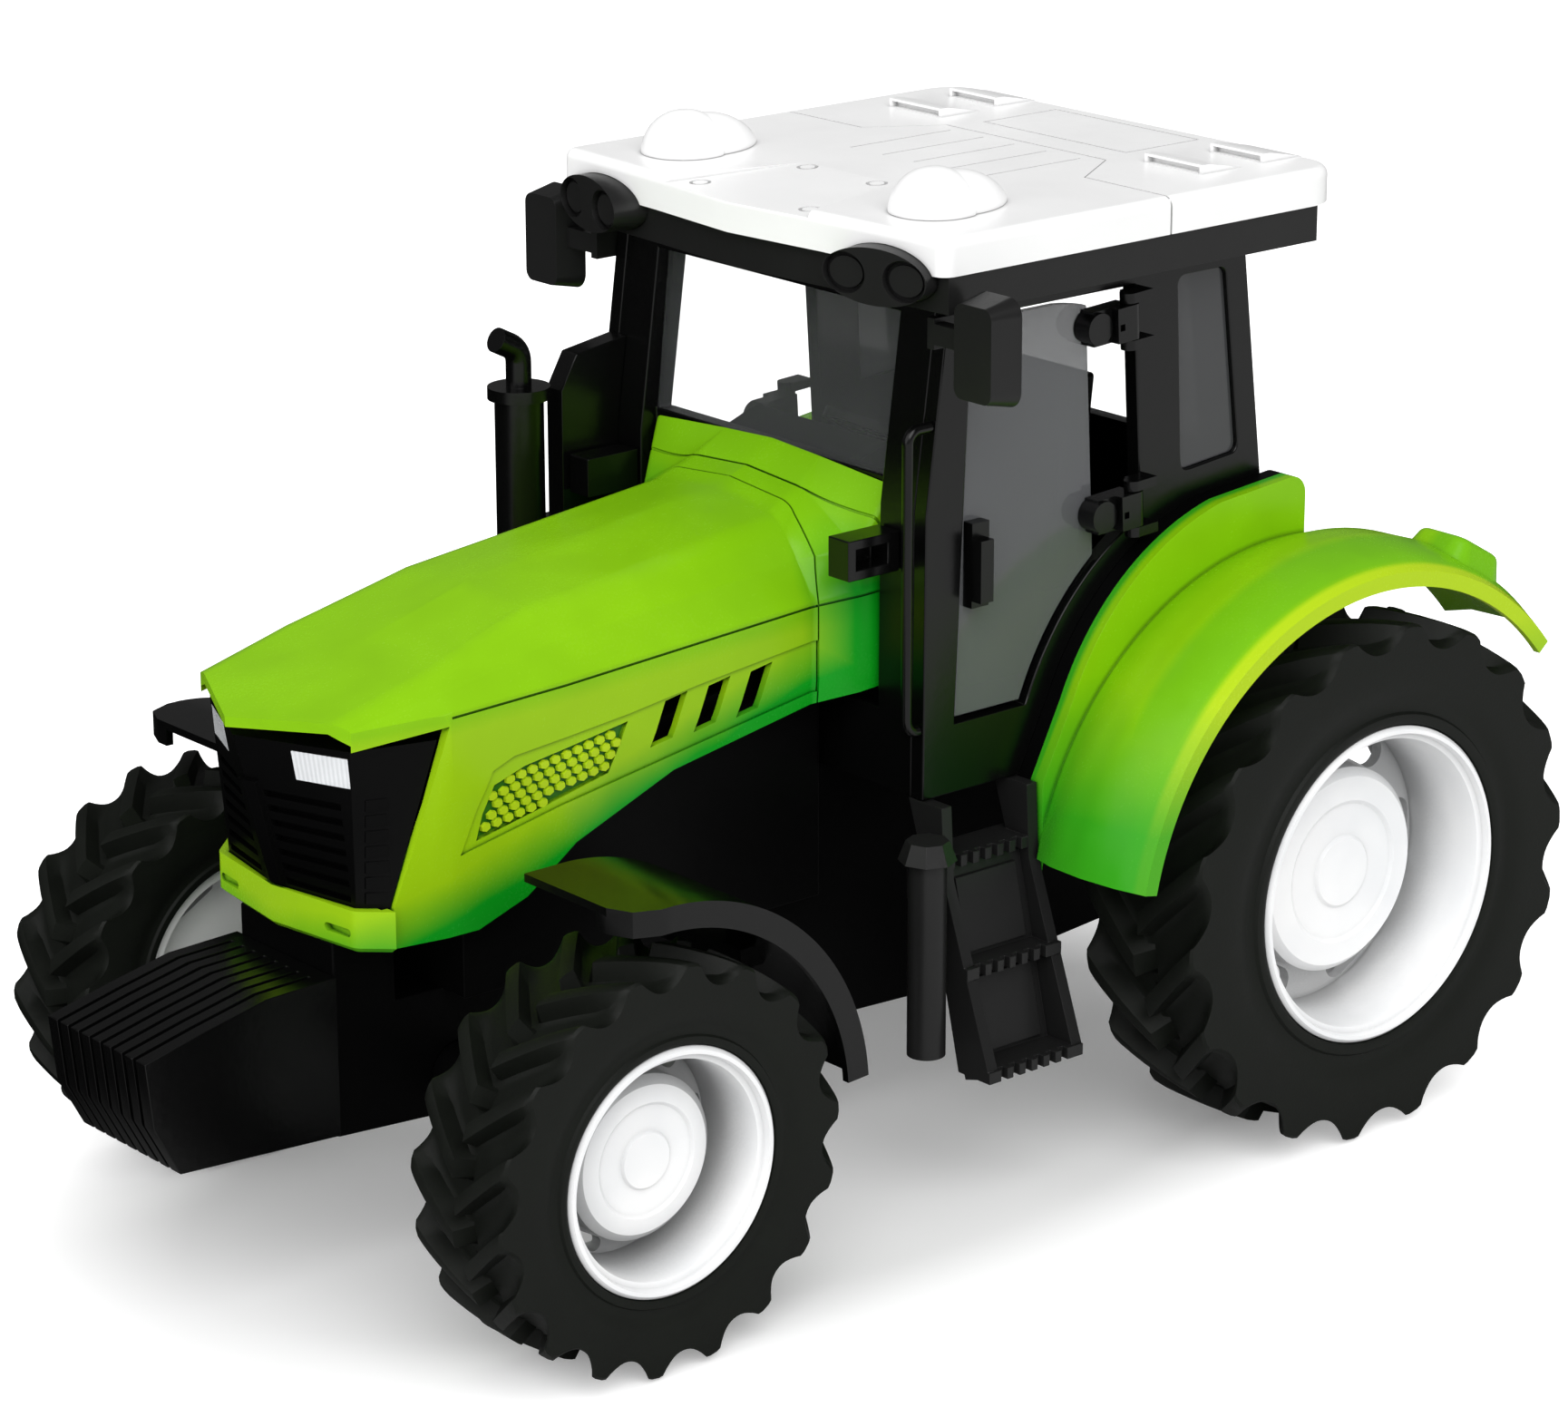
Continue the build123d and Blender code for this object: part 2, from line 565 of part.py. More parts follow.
def arch_strip(centre, radius, thickness, angles, tail=0.0):
    """A side-view strip of a round arch between two angles, with a level tail in front."""
    cx, cz = centre
    first, last = angles
    middle = (first + last) / 2
    rim = [[(cx + r * cos(radians(a)), cz + r * sin(radians(a))) for a in (first, middle, last)]
           for r in (radius, radius - thickness)]
    with BuildSketch(Plane.XY) as strip:
        with BuildLine():
            ThreePointArc(*rim[0])
            Line(rim[0][2], (rim[0][2][0] + tail, rim[0][2][1]))
            Line((rim[0][2][0] + tail, rim[0][2][1]), (rim[0][2][0] + tail, rim[1][2][1]))
            Line((rim[0][2][0] + tail, rim[1][2][1]), rim[1][2])
            ThreePointArc(*reversed(rim[1]))
            Line(rim[1][0], rim[0][0])
        make_face()
    return strip.sketch


front_top = arch_strip((WHEELBASE, 43.0), FRONT_ARCH_R, WALL * 0.8, (176, 92), tail=FENDER_TAIL)
front_edge = arch_strip((WHEELBASE, 43.0), FRONT_ARCH_R, FRONT_LIP, (176, 92), tail=FENDER_TAIL)
with BuildPart() as front_fender:
    with BuildSketch(side_plane(FRONT_FENDER_Y[1])):
        add(front_top)
    extrude(amount=FRONT_FENDER_Y[1] - FRONT_FENDER_Y[0])
    with BuildSketch(side_plane(FRONT_FENDER_Y[1])):
        add(front_edge)
    extrude(amount=1.6)
    with BuildSketch(plan_plane(FRONT_WHEEL["tyre_r"] + 30)):
        with BuildLine():
            Polyline(*FENDER_CUT, (FENDER_CUT[2][0], FENDER_CUT[2][1] + 1), (NOSE_X, FENDER_CUT[2][1] + 1),
                     (NOSE_X, FENDER_CUT[0][1]), close=True)
        make_face()
    extrude(amount=40, mode=Mode.SUBTRACT)
    # the edge goes on round that corner
    with BuildSketch(plan_plane(FENDER_TOP_Z - FRONT_LIP)):
        with BuildLine():
            Polyline(*FENDER_CUT, *FENDER_CUT_IN, close=True)
        make_face()
    extrude(amount=FRONT_LIP)
    # arm behind the wheel that fastens to the engine block
    add(block((WHEELBASE - 44, WHEELBASE - 36), (ENGINE_HALF + FIT, FRONT_FENDER_Y[0] + 8), (63.5, 67.5)))
write_pair(front_fender.part, "front_fender")

# ---- rear fenders -----------------------------------------------------------------------
FOOT_ANGLE = 78.0          # front foot, degrees forward of straight up
TAIL_ANGLE = 50.0          # tail, degrees back from straight up
FENDER_FOOT_X = ARCH_FRONT_X - 0.9      # front and rear end of the raised inner band
FENDER_END_X = -4.0
BAND_SPAN = FENDER_OUT - STEP_Y
# crowned band: y, radius of the outer skin
BAND = [(STEP_Y, ARCH_R + 2.0), (STEP_Y + BAND_SPAN * 0.21, CREST_R - 0.4),
        (STEP_Y + BAND_SPAN * 0.53, CREST_R), (STEP_Y + BAND_SPAN * 0.80, CREST_R - 1.6),
        (FENDER_OUT - 1.5, ARCH_R + 0.8), (FENDER_OUT, ARCH_R)]
FLANGE = 3.2               # depth of the outer edge that the band turns down to
LAMP_ANGLE = 30.0          # lamp housing on the tail, degrees back from straight up
tail_plane = Plane(
    origin=(REAR_X + ARCH_X, 0, ARCH_Z),
    x_dir=(0, 1, 0),
    z_dir=(cos(radians(TAIL_ANGLE)), 0, sin(radians(TAIL_ANGLE))),
)
lamp_plane = Plane(
    origin=(REAR_X + ARCH_X - (CREST_R - 3) * sin(radians(LAMP_ANGLE)), 0,
            ARCH_Z + (CREST_R - 3) * cos(radians(LAMP_ANGLE))),
    x_dir=(cos(radians(LAMP_ANGLE)), 0, sin(radians(LAMP_ANGLE))),
    z_dir=(-sin(radians(LAMP_ANGLE)), 0, cos(radians(LAMP_ANGLE))),
)
# raised inner band from the side, between its front foot and its rear end
RAISED = [(FENDER_FOOT_X, FLOOR_Z), (ARCH_FRONT_X - 8.5, ARCH_Z + 44.5), (ARCH_FRONT_X - 24, WAIST_Z - 14),
          (ARCH_FRONT_X - 48.5, WAIST_Z - 1.7), (FENDER_END_X + 4, WAIST_Z),
          (FENDER_END_X + 1.1, WAIST_Z - 1.3), (FENDER_END_X, WAIST_Z - 4.2)]


def raised_outline():
    """The raised band from the side, down to the underside of the crowned band."""
    with BuildSketch() as outline:
        with BuildLine():
            Line(RAISED[0], RAISED[1])
            ThreePointArc(*RAISED[1:4])
            Line(RAISED[3], RAISED[4])
            ThreePointArc(*RAISED[4:7])
            Polyline(RAISED[6], (FENDER_END_X, ARCH_Z), (FENDER_FOOT_X, ARCH_Z), RAISED[0])
        make_face()
        with Locations((ARCH_X, ARCH_Z)):
            Circle(BAND[0][1] - WALL, mode=Mode.SUBTRACT)
    return outline.sketch


def raised_edge(shrink, thickness):
    """A strip along the raised band's outline, some way inside it."""
    outline = raised_outline()
    if shrink:
        outline = offset(outline, amount=-shrink)
    return outline - offset(outline, amount=-thickness)


with BuildPart() as rear_fender:
    with BuildSketch(tail_plane):
        with BuildLine():
            Polyline(*BAND, (FENDER_OUT, ARCH_R - FLANGE), (FENDER_OUT - 1.6, ARCH_R - FLANGE),
                     *[(min(y, FENDER_OUT - 1.6), r - WALL) for y, r in reversed(BAND[:-1])], close=True)
        make_face()
    revolve(axis=Axis((REAR_X + ARCH_X, 0, ARCH_Z), (0, 1, 0)), revolution_arc=TAIL_ANGLE + FOOT_ANGLE)
    # raised inner band: a web down to the crowned band, and a rolled top edge
    with BuildSketch(side_plane(STEP_Y)):
        add(raised_outline())
    extrude(amount=WALL)
    with BuildSketch(side_plane(STEP_Y)):
        add(raised_edge(0, WALL))
    extrude(amount=STEP_Y - CAB_HALF - SEAL_T - FIT)
    # lamp housing on the tail
    with BuildSketch(lamp_plane):
        with Locations((0, STEP_Y + BAND_SPAN * 0.55)):
            RectangleRounded(18, 17, 5)
    extrude(amount=6.0, taper=20)
    fillet(rear_fender.faces().sort_by(Axis(lamp_plane.origin, lamp_plane.z_dir))[-1].edges(), 2.0)
write_pair(rear_fender.part, "rear_fender")

# black seals between the raised bands and the cab
with BuildPart() as seal:
    with BuildSketch(side_plane(CAB_HALF + SEAL_T)):
        add(raised_edge(0, WALL))
    extrude(amount=SEAL_T - FIT)
write_both(seal.part, "fender_seals")

# ---- cab --------------------------------------------------------------------------------
# outline of the cab from the side: x, z
FRONT_LINE = [(CAB_FRONT_X, FLOOR_Z), (CAB_FRONT_X - 0.5, 141), (CAB_FRONT_X - 5.6, CAB_TOP_Z - 2.8),
              (CAB_FRONT_X - 6, CAB_TOP_Z)]
REAR_LINE = [(CAB_REAR_X + 6, CAB_TOP_Z), (CAB_REAR_X, WAIST_Z), (CAB_REAR_X, FLOOR_Z)]
FRONT_PILLAR = 7.5
# openings in a side frame: x, z
DOOR_HOLE = [(81.2, WINDOW_TOP_Z), (84.8, SILL_Z), (ARCH_FRONT_X - 2.5, SILL_Z),
             (ARCH_FRONT_X - 30, WINDOW_TOP_Z)]
DOOR_ARC = [DOOR_HOLE[2], (ARCH_FRONT_X - 14.5, SILL_Z + 19.5), (ARCH_FRONT_X - 32.9, WAIST_Z - 3.0)]
QUARTER_HOLE = [(26.5, WINDOW_TOP_Z), (24.5, WAIST_Z + 4.0), (8.6, WAIST_Z + 5.5), (13.4, WINDOW_TOP_Z)]


def door_outline(gap):
    """The door opening, moved inward by a gap for the glass."""
    with BuildSketch() as opening:
        with BuildLine():
            Line(DOOR_HOLE[0], DOOR_HOLE[1])
            Line(DOOR_HOLE[1], DOOR_HOLE[2])
            ThreePointArc(*DOOR_ARC)
            Line(DOOR_ARC[2], DOOR_HOLE[3])
            Line(DOOR_HOLE[3], DOOR_HOLE[0])
        make_face()
        if gap:
            offset(amount=-gap, mode=Mode.REPLACE)
    return opening.sketch


def quarter_outline(gap):
    with BuildSketch() as opening:
        with BuildLine():
            Polyline(*QUARTER_HOLE, close=True)
        make_face()
        fillet(opening.vertices(), 2.0)
        if gap:
            offset(amount=-gap, mode=Mode.REPLACE)
    return opening.sketch


with BuildPart() as cab_side:
    with BuildSketch(side_plane(CAB_HALF)):
        with BuildLine():
            Polyline(*FRONT_LINE, *REAR_LINE, close=True)
        make_face()
        add(door_outline(0), mode=Mode.SUBTRACT)
        add(quarter_outline(0), mode=Mode.SUBTRACT)
    extrude(amount=SIDE_T)
write_pair(cab_side.part, "cab_side")

INNER_HALF = CAB_HALF - SIDE_T
with BuildPart() as cab_front:
    with BuildSketch(side_plane()):
        with BuildLine():
            Polyline(
                *FRONT_LINE,
                (CAB_FRONT_X - 6 - FRONT_PILLAR, CAB_TOP_Z),
                (CAB_FRONT_X - 0.5 - FRONT_PILLAR, 141),
                (CAB_FRONT_X - FRONT_PILLAR, FLOOR_Z + FLOOR_T),
                (CAB_FRONT_X - FRONT_PILLAR, FLOOR_Z),
                close=True,
            )
        make_face()
    extrude(amount=INNER_HALF, both=True)
    # windshield opening, and room for the cowl in front of the firewall
    with BuildSketch(cross_plane(CAB_FRONT_X - 20)):
        with Locations((0, (WINDOW_TOP_Z + 145) / 2)):
            Rectangle(2 * PILLAR_IN, WINDOW_TOP_Z - 145)
    extrude(amount=30, mode=Mode.SUBTRACT)
    with BuildSketch(cross_plane(CAB_FRONT_X - 4.6)):
        with Locations((0, (100 + 146) / 2)):
            Rectangle(2 * PILLAR_IN, 146 - 100)
    extrude(amount=10, mode=Mode.SUBTRACT)
write(cab_front.part, "cab_front")

REAR_HOLE_Z = (WAIST_Z + 4.0, CAB_TOP_Z - 5.8)
with BuildPart() as cab_rear:
    with BuildSketch(side_plane()):
        with BuildLine():
            Polyline(*REAR_LINE, (CAB_REAR_X + SIDE_T, FLOOR_Z), (CAB_REAR_X + SIDE_T, WAIST_Z),
                     (CAB_REAR_X + 6 + SIDE_T, CAB_TOP_Z), close=True)
        make_face()
    extrude(amount=INNER_HALF, both=True)
    with BuildSketch(cross_plane(CAB_REAR_X - 5)):
        with Locations((0, sum(REAR_HOLE_Z) / 2)):
            RectangleRounded(2 * PILLAR_IN, REAR_HOLE_Z[1] - REAR_HOLE_Z[0], 3)
    extrude(amount=25, mode=Mode.SUBTRACT)
write(cab_rear.part, "cab_rear")

with BuildPart() as cab_floor:
    add(block((CAB_REAR_X + SIDE_T, CAB_FRONT_X - FRONT_PILLAR), (-INNER_HALF, INNER_HALF),
              (FLOOR_Z, FLOOR_Z + FLOOR_T)))
write(cab_floor.part, "cab_floor")

# ---- glass ------------------------------------------------------------------------------
def slanted_pane(foot, head, corner):
    """A flat pane across the cab between two heights, each given as x and z."""
    with BuildPart() as pane:
        with BuildSketch(side_plane()):
            with BuildLine():
                Polyline(foot, head, (head[0] - GLASS_T, head[1]), (foot[0] - GLASS_T, foot[1]), close=True)
            make_face()
        extrude(amount=PILLAR_IN - FIT, both=True)
        with BuildSketch(cross_plane(foot[0] - 20)):
            with Locations((0, (foot[1] + head[1]) / 2)):
                RectangleRounded(2 * (PILLAR_IN - FIT), head[1] - foot[1], corner)
        extrude(amount=40, mode=Mode.INTERSECT)
    return pane.part


windshield = slanted_pane((CAB_FRONT_X - 4.8, 145 + FIT), (CAB_FRONT_X - 8.2, WINDOW_TOP_Z - FIT), 0.5)
write(windshield, "windshield")


def rear_pane_x(z):
    """The front face of the rear window, which leans with the rear of the cab."""
    return CAB_REAR_X + 2.4 + 6 * (z - WAIST_Z) / (CAB_TOP_Z - WAIST_Z)


rear_foot_z = REAR_HOLE_Z[0] + FIT
rear_head_z = REAR_HOLE_Z[1] - FIT
rear_foot, rear_head = ((rear_pane_x(z), z) for z in (rear_foot_z, rear_head_z))
write(slanted_pane(rear_foot, rear_head, 3.0), "rear_window")

with BuildPart() as quarter_glass:
    with BuildSketch(side_plane(CAB_HALF - 1.0)):
        add(quarter_outline(FIT))
    extrude(amount=GLASS_T)
write_both(quarter_glass.part, "quarter_windows")

# ---- doors ------------------------------------------------------------------------------
# hinge line beside the middle pillar: x and z at its foot and head
HINGE_LINE = [(ARCH_FRONT_X - 28.3, WAIST_Z), (ARCH_FRONT_X - 26.2, WINDOW_TOP_Z - 6.0)]
HINGE_TILT = degrees(atan2(HINGE_LINE[1][0] - HINGE_LINE[0][0], HINGE_LINE[1][1] - HINGE_LINE[0][1]))
KNUCKLE_H = 7.0
GLASS_Y = CAB_HALF - 1.2
GLASS_REAR_X = ARCH_FRONT_X - 21.5      # free rear edge of the door glass at its foot
# free top edge of the door glass, which falls towards the rear: x, z
GLASS_TOP = [(90, WINDOW_TOP_Z - 1.0), (ARCH_FRONT_X - 2.5, WINDOW_TOP_Z - 1.0),
             (ARCH_FRONT_X - 14.5, WINDOW_TOP_Z - 1.6), (ARCH_FRONT_X - 24.5, WINDOW_TOP_Z - 4.6)]

with BuildPart() as door_glass:
    with BuildSketch(side_plane(GLASS_Y)) as door_pane:
        add(door_outline(DOOR_GAP))
        with Locations((GLASS_REAR_X - 10 + 1.2, 140)):
            Rectangle(20, 2 * (WINDOW_TOP_Z - 120), rotation=-HINGE_TILT, mode=Mode.SUBTRACT)
        with BuildLine():
            Line(GLASS_TOP[0], GLASS_TOP[1])
            ThreePointArc(*GLASS_TOP[1:])
            Polyline(GLASS_TOP[3], (GLASS_TOP[3][0], WINDOW_TOP_Z + 5), (90, WINDOW_TOP_Z + 5), GLASS_TOP[0])
        make_face(mode=Mode.SUBTRACT)
    extrude(amount=GLASS_T)
write_pair(door_glass.part, "door_glass")


def hinge_plane(z_index):
    """A plane across the tilted hinge line, centred on a knuckle."""
    x, z = HINGE_LINE[z_index]
    tilt = radians(HINGE_TILT)
    return Plane(origin=(REAR_X + x, HINGE_Y, z), x_dir=(cos(tilt), 0, -sin(tilt)),
                 z_dir=(sin(tilt), 0, cos(tilt)))


CLIP_REACH = 9.5
PUCK_R = 3.2
CLIP_HOLE = 1.3            # side of the two square windows in a hinge clip
HANDLE_Z = (121.0, 138.0)
with BuildPart() as door_fittings:
    for end in (0, 1):
        line = hinge_plane(end)
        base = line.offset(-KNUCKLE_H / 2)
        with BuildSketch(base):
            Circle(KNUCKLE_R)
            with Locations((CLIP_REACH / 2, (GLASS_Y + FIT + HINGE_Y) / 2 - HINGE_Y)):
                Rectangle(CLIP_REACH, HINGE_Y - GLASS_Y - FIT)
            with Locations((CLIP_REACH / 4, KNUCKLE_R / 2)):
                Rectangle(CLIP_REACH / 2, KNUCKLE_R)
            Circle(PIN_R + RUN, mode=Mode.SUBTRACT)
        extrude(amount=KNUCKLE_H)
        # puck on the glass, and two square windows in the clip's face
        face = Plane(origin=line.origin, x_dir=line.x_dir, z_dir=(0, -1, 0))
        with BuildSketch(face.offset(HINGE_Y - GLASS_Y - FIT)):
            with Locations((CLIP_REACH - 1.2, 0)):
                Circle(PUCK_R)
        extrude(amount=-(HINGE_Y - GLASS_Y - FIT) - 0.8)
        with BuildSketch(face.offset(-KNUCKLE_R)):
            with Locations((3.6, -0.4), (6.0, 0.8)):
                Rectangle(CLIP_HOLE, CLIP_HOLE)
        extrude(amount=1.2, mode=Mode.SUBTRACT)
    # pull handle at the free edge of the door, with a finger window
    add(block((77.5, 81.9), (GLASS_Y + FIT, CAB_HALF + 1.4), HANDLE_Z))
    add(block((78.6, 81.9), (CAB_HALF + 1.4, CAB_HALF + 4), (HANDLE_Z[0] + 1.5, HANDLE_Z[1] - 3)))
    finger_z = (HANDLE_Z[0] + 6, HANDLE_Z[1] - 5)
    add(block((77.5, 80.6), (CAB_HALF + 0.4, CAB_HALF + 3), finger_z), mode=Mode.SUBTRACT)
write_pair(door_fittings.part, "door_fittings")

LEAF_H = 2.0
with BuildPart() as door_hinges:
    for end in (0, 1):
        with BuildSketch(hinge_plane(end).offset(-KNUCKLE_H / 2 - LEAF_H)):
            Circle(PIN_R)
        extrude(amount=KNUCKLE_H + 2 * LEAF_H)
        for start in (-KNUCKLE_H / 2 - LEAF_H - 0.2, KNUCKLE_H / 2 + 0.2):
            with BuildSketch(hinge_plane(end).offset(start)):
                Circle(KNUCKLE_R - 0.2)
                with Locations((-2.5, (CAB_HALF + FIT + HINGE_Y + KNUCKLE_R - 0.2) / 2 - HINGE_Y)):
                    Rectangle(5, KNUCKLE_R - 0.2 + HINGE_Y - CAB_HALF - FIT)
            extrude(amount=LEAF_H)
write_both(door_hinges.part, "door_hinges")

# ---- cab interior -----------------------------------------------------------------------
SEAT_X = 34.0
with BuildPart() as seat:
    add(block((SEAT_X - 10, SEAT_X + 10), (-9, 9), (FLOOR_Z + FLOOR_T, 106)))
    with BuildSketch(side_plane(15)):
        with BuildLine():
            Polyline((SEAT_X - 14, 106), (SEAT_X + 14, 106), (SEAT_X + 16, 114), (SEAT_X - 6, 112),
                     (SEAT_X - 13, 150), (SEAT_X - 19, 150), close=True)
        make_face()
    extrude(amount=30)
write(seat.part, "seat")

with BuildPart() as dash:
    with BuildSketch(side_plane(20)):
        with BuildLine():
            Polyline((70, FLOOR_Z + FLOOR_T), (CAB_FRONT_X - FRONT_PILLAR - FIT - 0.5, FLOOR_Z + FLOOR_T),
                     (CAB_FRONT_X - FRONT_PILLAR - 1.2, 144), (76, 147), (68, 132), close=True)
        make_face()
    extrude(amount=40)
write(dash.part, "dashboard")

WHEEL_TILT = 62.0
wheel_plane = Plane(origin=(REAR_X + 62, 0, 142), x_dir=(0, 1, 0),
                    z_dir=(-cos(radians(WHEEL_TILT)), 0, sin(radians(WHEEL_TILT))))
with BuildPart() as steering_wheel:
    with BuildSketch(wheel_plane):
        Circle(11)
        Circle(9, mode=Mode.SUBTRACT)
        Rectangle(20, 2)
        Circle(3)
    extrude(amount=2)
    with BuildSketch(wheel_plane):
        Circle(1.8)
    extrude(amount=-10.0)
write(steering_wheel.part, "steering_wheel")

# ---- roof -------------------------------------------------------------------------------
# seen from above, left half: x, y
ROOF_PLAN = [(ROOF_REAR_X, ROOF_HALF), (ROOF_FRONT_X - 4.5, ROOF_HALF), (ROOF_FRONT_X - 2.5, 25.0),
             (ROOF_FRONT_X, 0.0)]
FRAME_HALF = ROOF_HALF - 0.4
FRAME_PLAN = [(CAB_REAR_X - 6.5, FRAME_HALF), (ROOF_FRONT_X - 6, FRAME_HALF), (ROOF_FRONT_X - 4, 25.0),
              (ROOF_FRONT_X - 2, 0.0)]
ROOF_TOP_Z = ROOF_Z + ROOF_T
ROOF_REAR_R = 9.0
ROOF_FRONT_R = 3.0
ROOF_EDGE_R = 2.0
# seam across the roof, left half from the side: x, y
ROOF_SEAM = [(36.3, ROOF_HALF + 1), (36.0, 33.2), (21.1, 23.7), (21.1, 0.0)]
RIB_Y = (-19.2, -9.4, 0.0, 9.4, 19.2)
RIB_X = (24.2, 51.6)
HATCH_X = (-7.3, 13.5)     # pressed rectangle at the rear
HATCH_HALF = 21.3
# scoops: front edge, inner and outer end: x, y, y
SCOOPS = [(17.0, 30.2, 46.4), (0.0, 31.6, 46.4)]
SCOOP_H = 1.8
SCOOP_L = 11.0
# lowered middle of the front edge, left half seen from above: x, y
FRONT_DIP = [(68.4, 13.9), (97.7, 21.5), (ROOF_FRONT_X + 2, 22.0)]
DIP_H = 1.5
# screw sinks in it: x, y, depth below the top
SCREW_SINKS = [(93.0, 16.5, 1.8), (70.5, 10.4, 0.7)]
SINK_R = 2.2
POD_Y = CAB_HALF - 8.3
POD_Z = ROOF_Z - 1.4
POD_W = 24.5
POD_H = 11.0
POD_L = 8.0
POD_YAW = 12.0
LAMP_RX = 4.9              # half width and height of the two lamp recesses in a pod
LAMP_RZ = 4.0
pod_plane = Plane(
    origin=(REAR_X + ROOF_FRONT_X - 7.5, POD_Y, POD_Z),
    x_dir=(-sin(radians(POD_YAW)), cos(radians(POD_YAW)), 0),
    z_dir=(cos(radians(POD_YAW)), sin(radians(POD_YAW)), 0),
)


def pod_solid(grow):
    with BuildPart(mode=Mode.PRIVATE) as pod:
        with BuildSketch(pod_plane):
            Ellipse(POD_W / 2 + grow, POD_H / 2 + grow)
        extrude(amount=POD_L)
    return pod.part


pod_room = pod_solid(FIT)
with BuildPart() as roof_frame:
    with BuildSketch(plan_plane(CAB_TOP_Z)):
        with BuildLine():
            Polyline(*both_sides(FRAME_PLAN), close=True)
        make_face()
        with Locations((44, 0)):
            Rectangle(72, 2 * PILLAR_IN, mode=Mode.SUBTRACT)
    extrude(amount=ROOF_FRAME_H)
    add(pod_room, mode=Mode.SUBTRACT)
    add(pod_room.mirror(Plane.XZ), mode=Mode.SUBTRACT)
write(roof_frame.part, "roof_frame")


def plan_strip(line, width):
    """A line seen from above, as the outline of a narrow strip in front of it."""
    return line + [(x + width, y) for x, y in reversed(line)]


with BuildPart() as roof:
    with BuildSketch(plan_plane(ROOF_Z)):
        with BuildLine():
            Polyline(*both_sides(ROOF_PLAN), close=True)
        make_face()
    extrude(amount=ROOF_T)
    corners = roof.edges().filter_by(Axis.Z)
    fillet(corners.group_by(Axis.X)[0], ROOF_REAR_R)
    fillet(roof.edges().filter_by(Axis.Z).filter_by_position(
        Axis.X, REAR_X + ROOF_FRONT_X - 5, REAR_X + ROOF_FRONT_X - 4), ROOF_FRONT_R)
    fillet(roof.faces().sort_by(Axis.Z)[-1].edges(), ROOF_EDGE_R)
    # hollow underneath
    with BuildSketch(plan_plane(ROOF_Z)):
        with Locations((44, 0)):
            Rectangle(84, 2 * ROOF_HALF - 15.6)
    extrude(amount=ROOF_T - ROOF_WALL, mode=Mode.SUBTRACT)
    add(pod_room, mode=Mode.SUBTRACT)
    add(pod_room.mirror(Plane.XZ), mode=Mode.SUBTRACT)
    # seams, ribs and the pressed rectangle
    with BuildSketch(plan_plane(ROOF_TOP_Z - GROOVE_D)):
        with BuildLine():
            Polyline(*plan_strip(both_sides(ROOF_SEAM), GROOVE_W), close=True)
        make_face()
        for y in RIB_Y:
            with Locations((sum(RIB_X) / 2, y)):
                Rectangle(RIB_X[1] - RIB_X[0], GROOVE_W)
        with Locations((sum(HATCH_X) / 2, 0)):
            Rectangle(HATCH_X[1] - HATCH_X[0], 2 * HATCH_HALF)
            Rectangle(HATCH_X[1] - HATCH_X[0] - 2 * GROOVE_W, 2 * (HATCH_HALF - GROOVE_W), mode=Mode.SUBTRACT)
    extrude(amount=GROOVE_D + 1, mode=Mode.SUBTRACT)
    # the seam goes on down both sides
    for y in (ROOF_HALF, -ROOF_HALF):
        add(block((ROOF_SEAM[0][0], ROOF_SEAM[0][0] + GROOVE_W), (y - GROOVE_D, y + GROOVE_D),
                  (ROOF_Z - 1, ROOF_TOP_Z + 1)), mode=Mode.SUBTRACT)
    # lowered middle of the front edge
    with BuildSketch(plan_plane(ROOF_TOP_Z - DIP_H)):
        with BuildLine():
            Polyline(*both_sides(FRONT_DIP), close=True)
        make_face()
    dip = extrude(amount=2 * DIP_H, mode=Mode.PRIVATE)
    add(dip & side_cut([(FRONT_DIP[0][0], ROOF_TOP_Z), (ROOF_FRONT_X + 3, ROOF_TOP_Z - DIP_H),
                        (ROOF_FRONT_X + 3, ROOF_TOP_Z + DIP_H), (FRONT_DIP[0][0], ROOF_TOP_Z + DIP_H)]),
        mode=Mode.SUBTRACT)
    for x, y, depth in SCREW_SINKS:
        with BuildSketch(plan_plane(ROOF_TOP_Z - depth)):
            with Locations((x, y), (x, -y)):
                Circle(SINK_R)
                Circle(SINK_R - 0.7, mode=Mode.SUBTRACT)
        extrude(amount=depth + 1, mode=Mode.SUBTRACT)
    # scoops, open to the front
    for x, inner, outer in SCOOPS:
        for side in (1, -1):
            with BuildSketch(side_plane(side * (inner + outer) / 2)):
                with BuildLine():
                    Polyline((x, ROOF_TOP_Z - 0.5), (x, ROOF_TOP_Z + SCOOP_H), (x - 2, ROOF_TOP_Z + SCOOP_H),
                             (x - SCOOP_L, ROOF_TOP_Z), (x - SCOOP_L, ROOF_TOP_Z - 0.5), close=True)
                make_face()
            extrude(amount=(outer - inner) / 2, both=True)
            add(block((x - 1.5, x + 1), sorted((side * (inner + 0.8), side * (outer - 0.8))),
                      (ROOF_TOP_Z + 0.1, ROOF_TOP_Z + SCOOP_H - 0.5)), mode=Mode.SUBTRACT)
write(roof.part, "roof")

with BuildPart() as pod:
    add(pod_solid(0))
    for y in (-POD_W * 0.285, POD_W * 0.285):
        with BuildSketch(pod_plane.offset(POD_L)):
            with Locations((y, 0)):
                Ellipse(LAMP_RX, LAMP_RZ)
                Ellipse(LAMP_RX - 1.0, LAMP_RZ - 1.0, mode=Mode.SUBTRACT)
        extrude(amount=-1.6, mode=Mode.SUBTRACT)
        with BuildSketch(pod_plane.offset(POD_L)):
            with Locations((y, 0)):
                Ellipse(LAMP_RX - 1.0, LAMP_RZ - 1.0)
        extrude(amount=-0.8, mode=Mode.SUBTRACT)
write_both(pod.part, "light_pods")

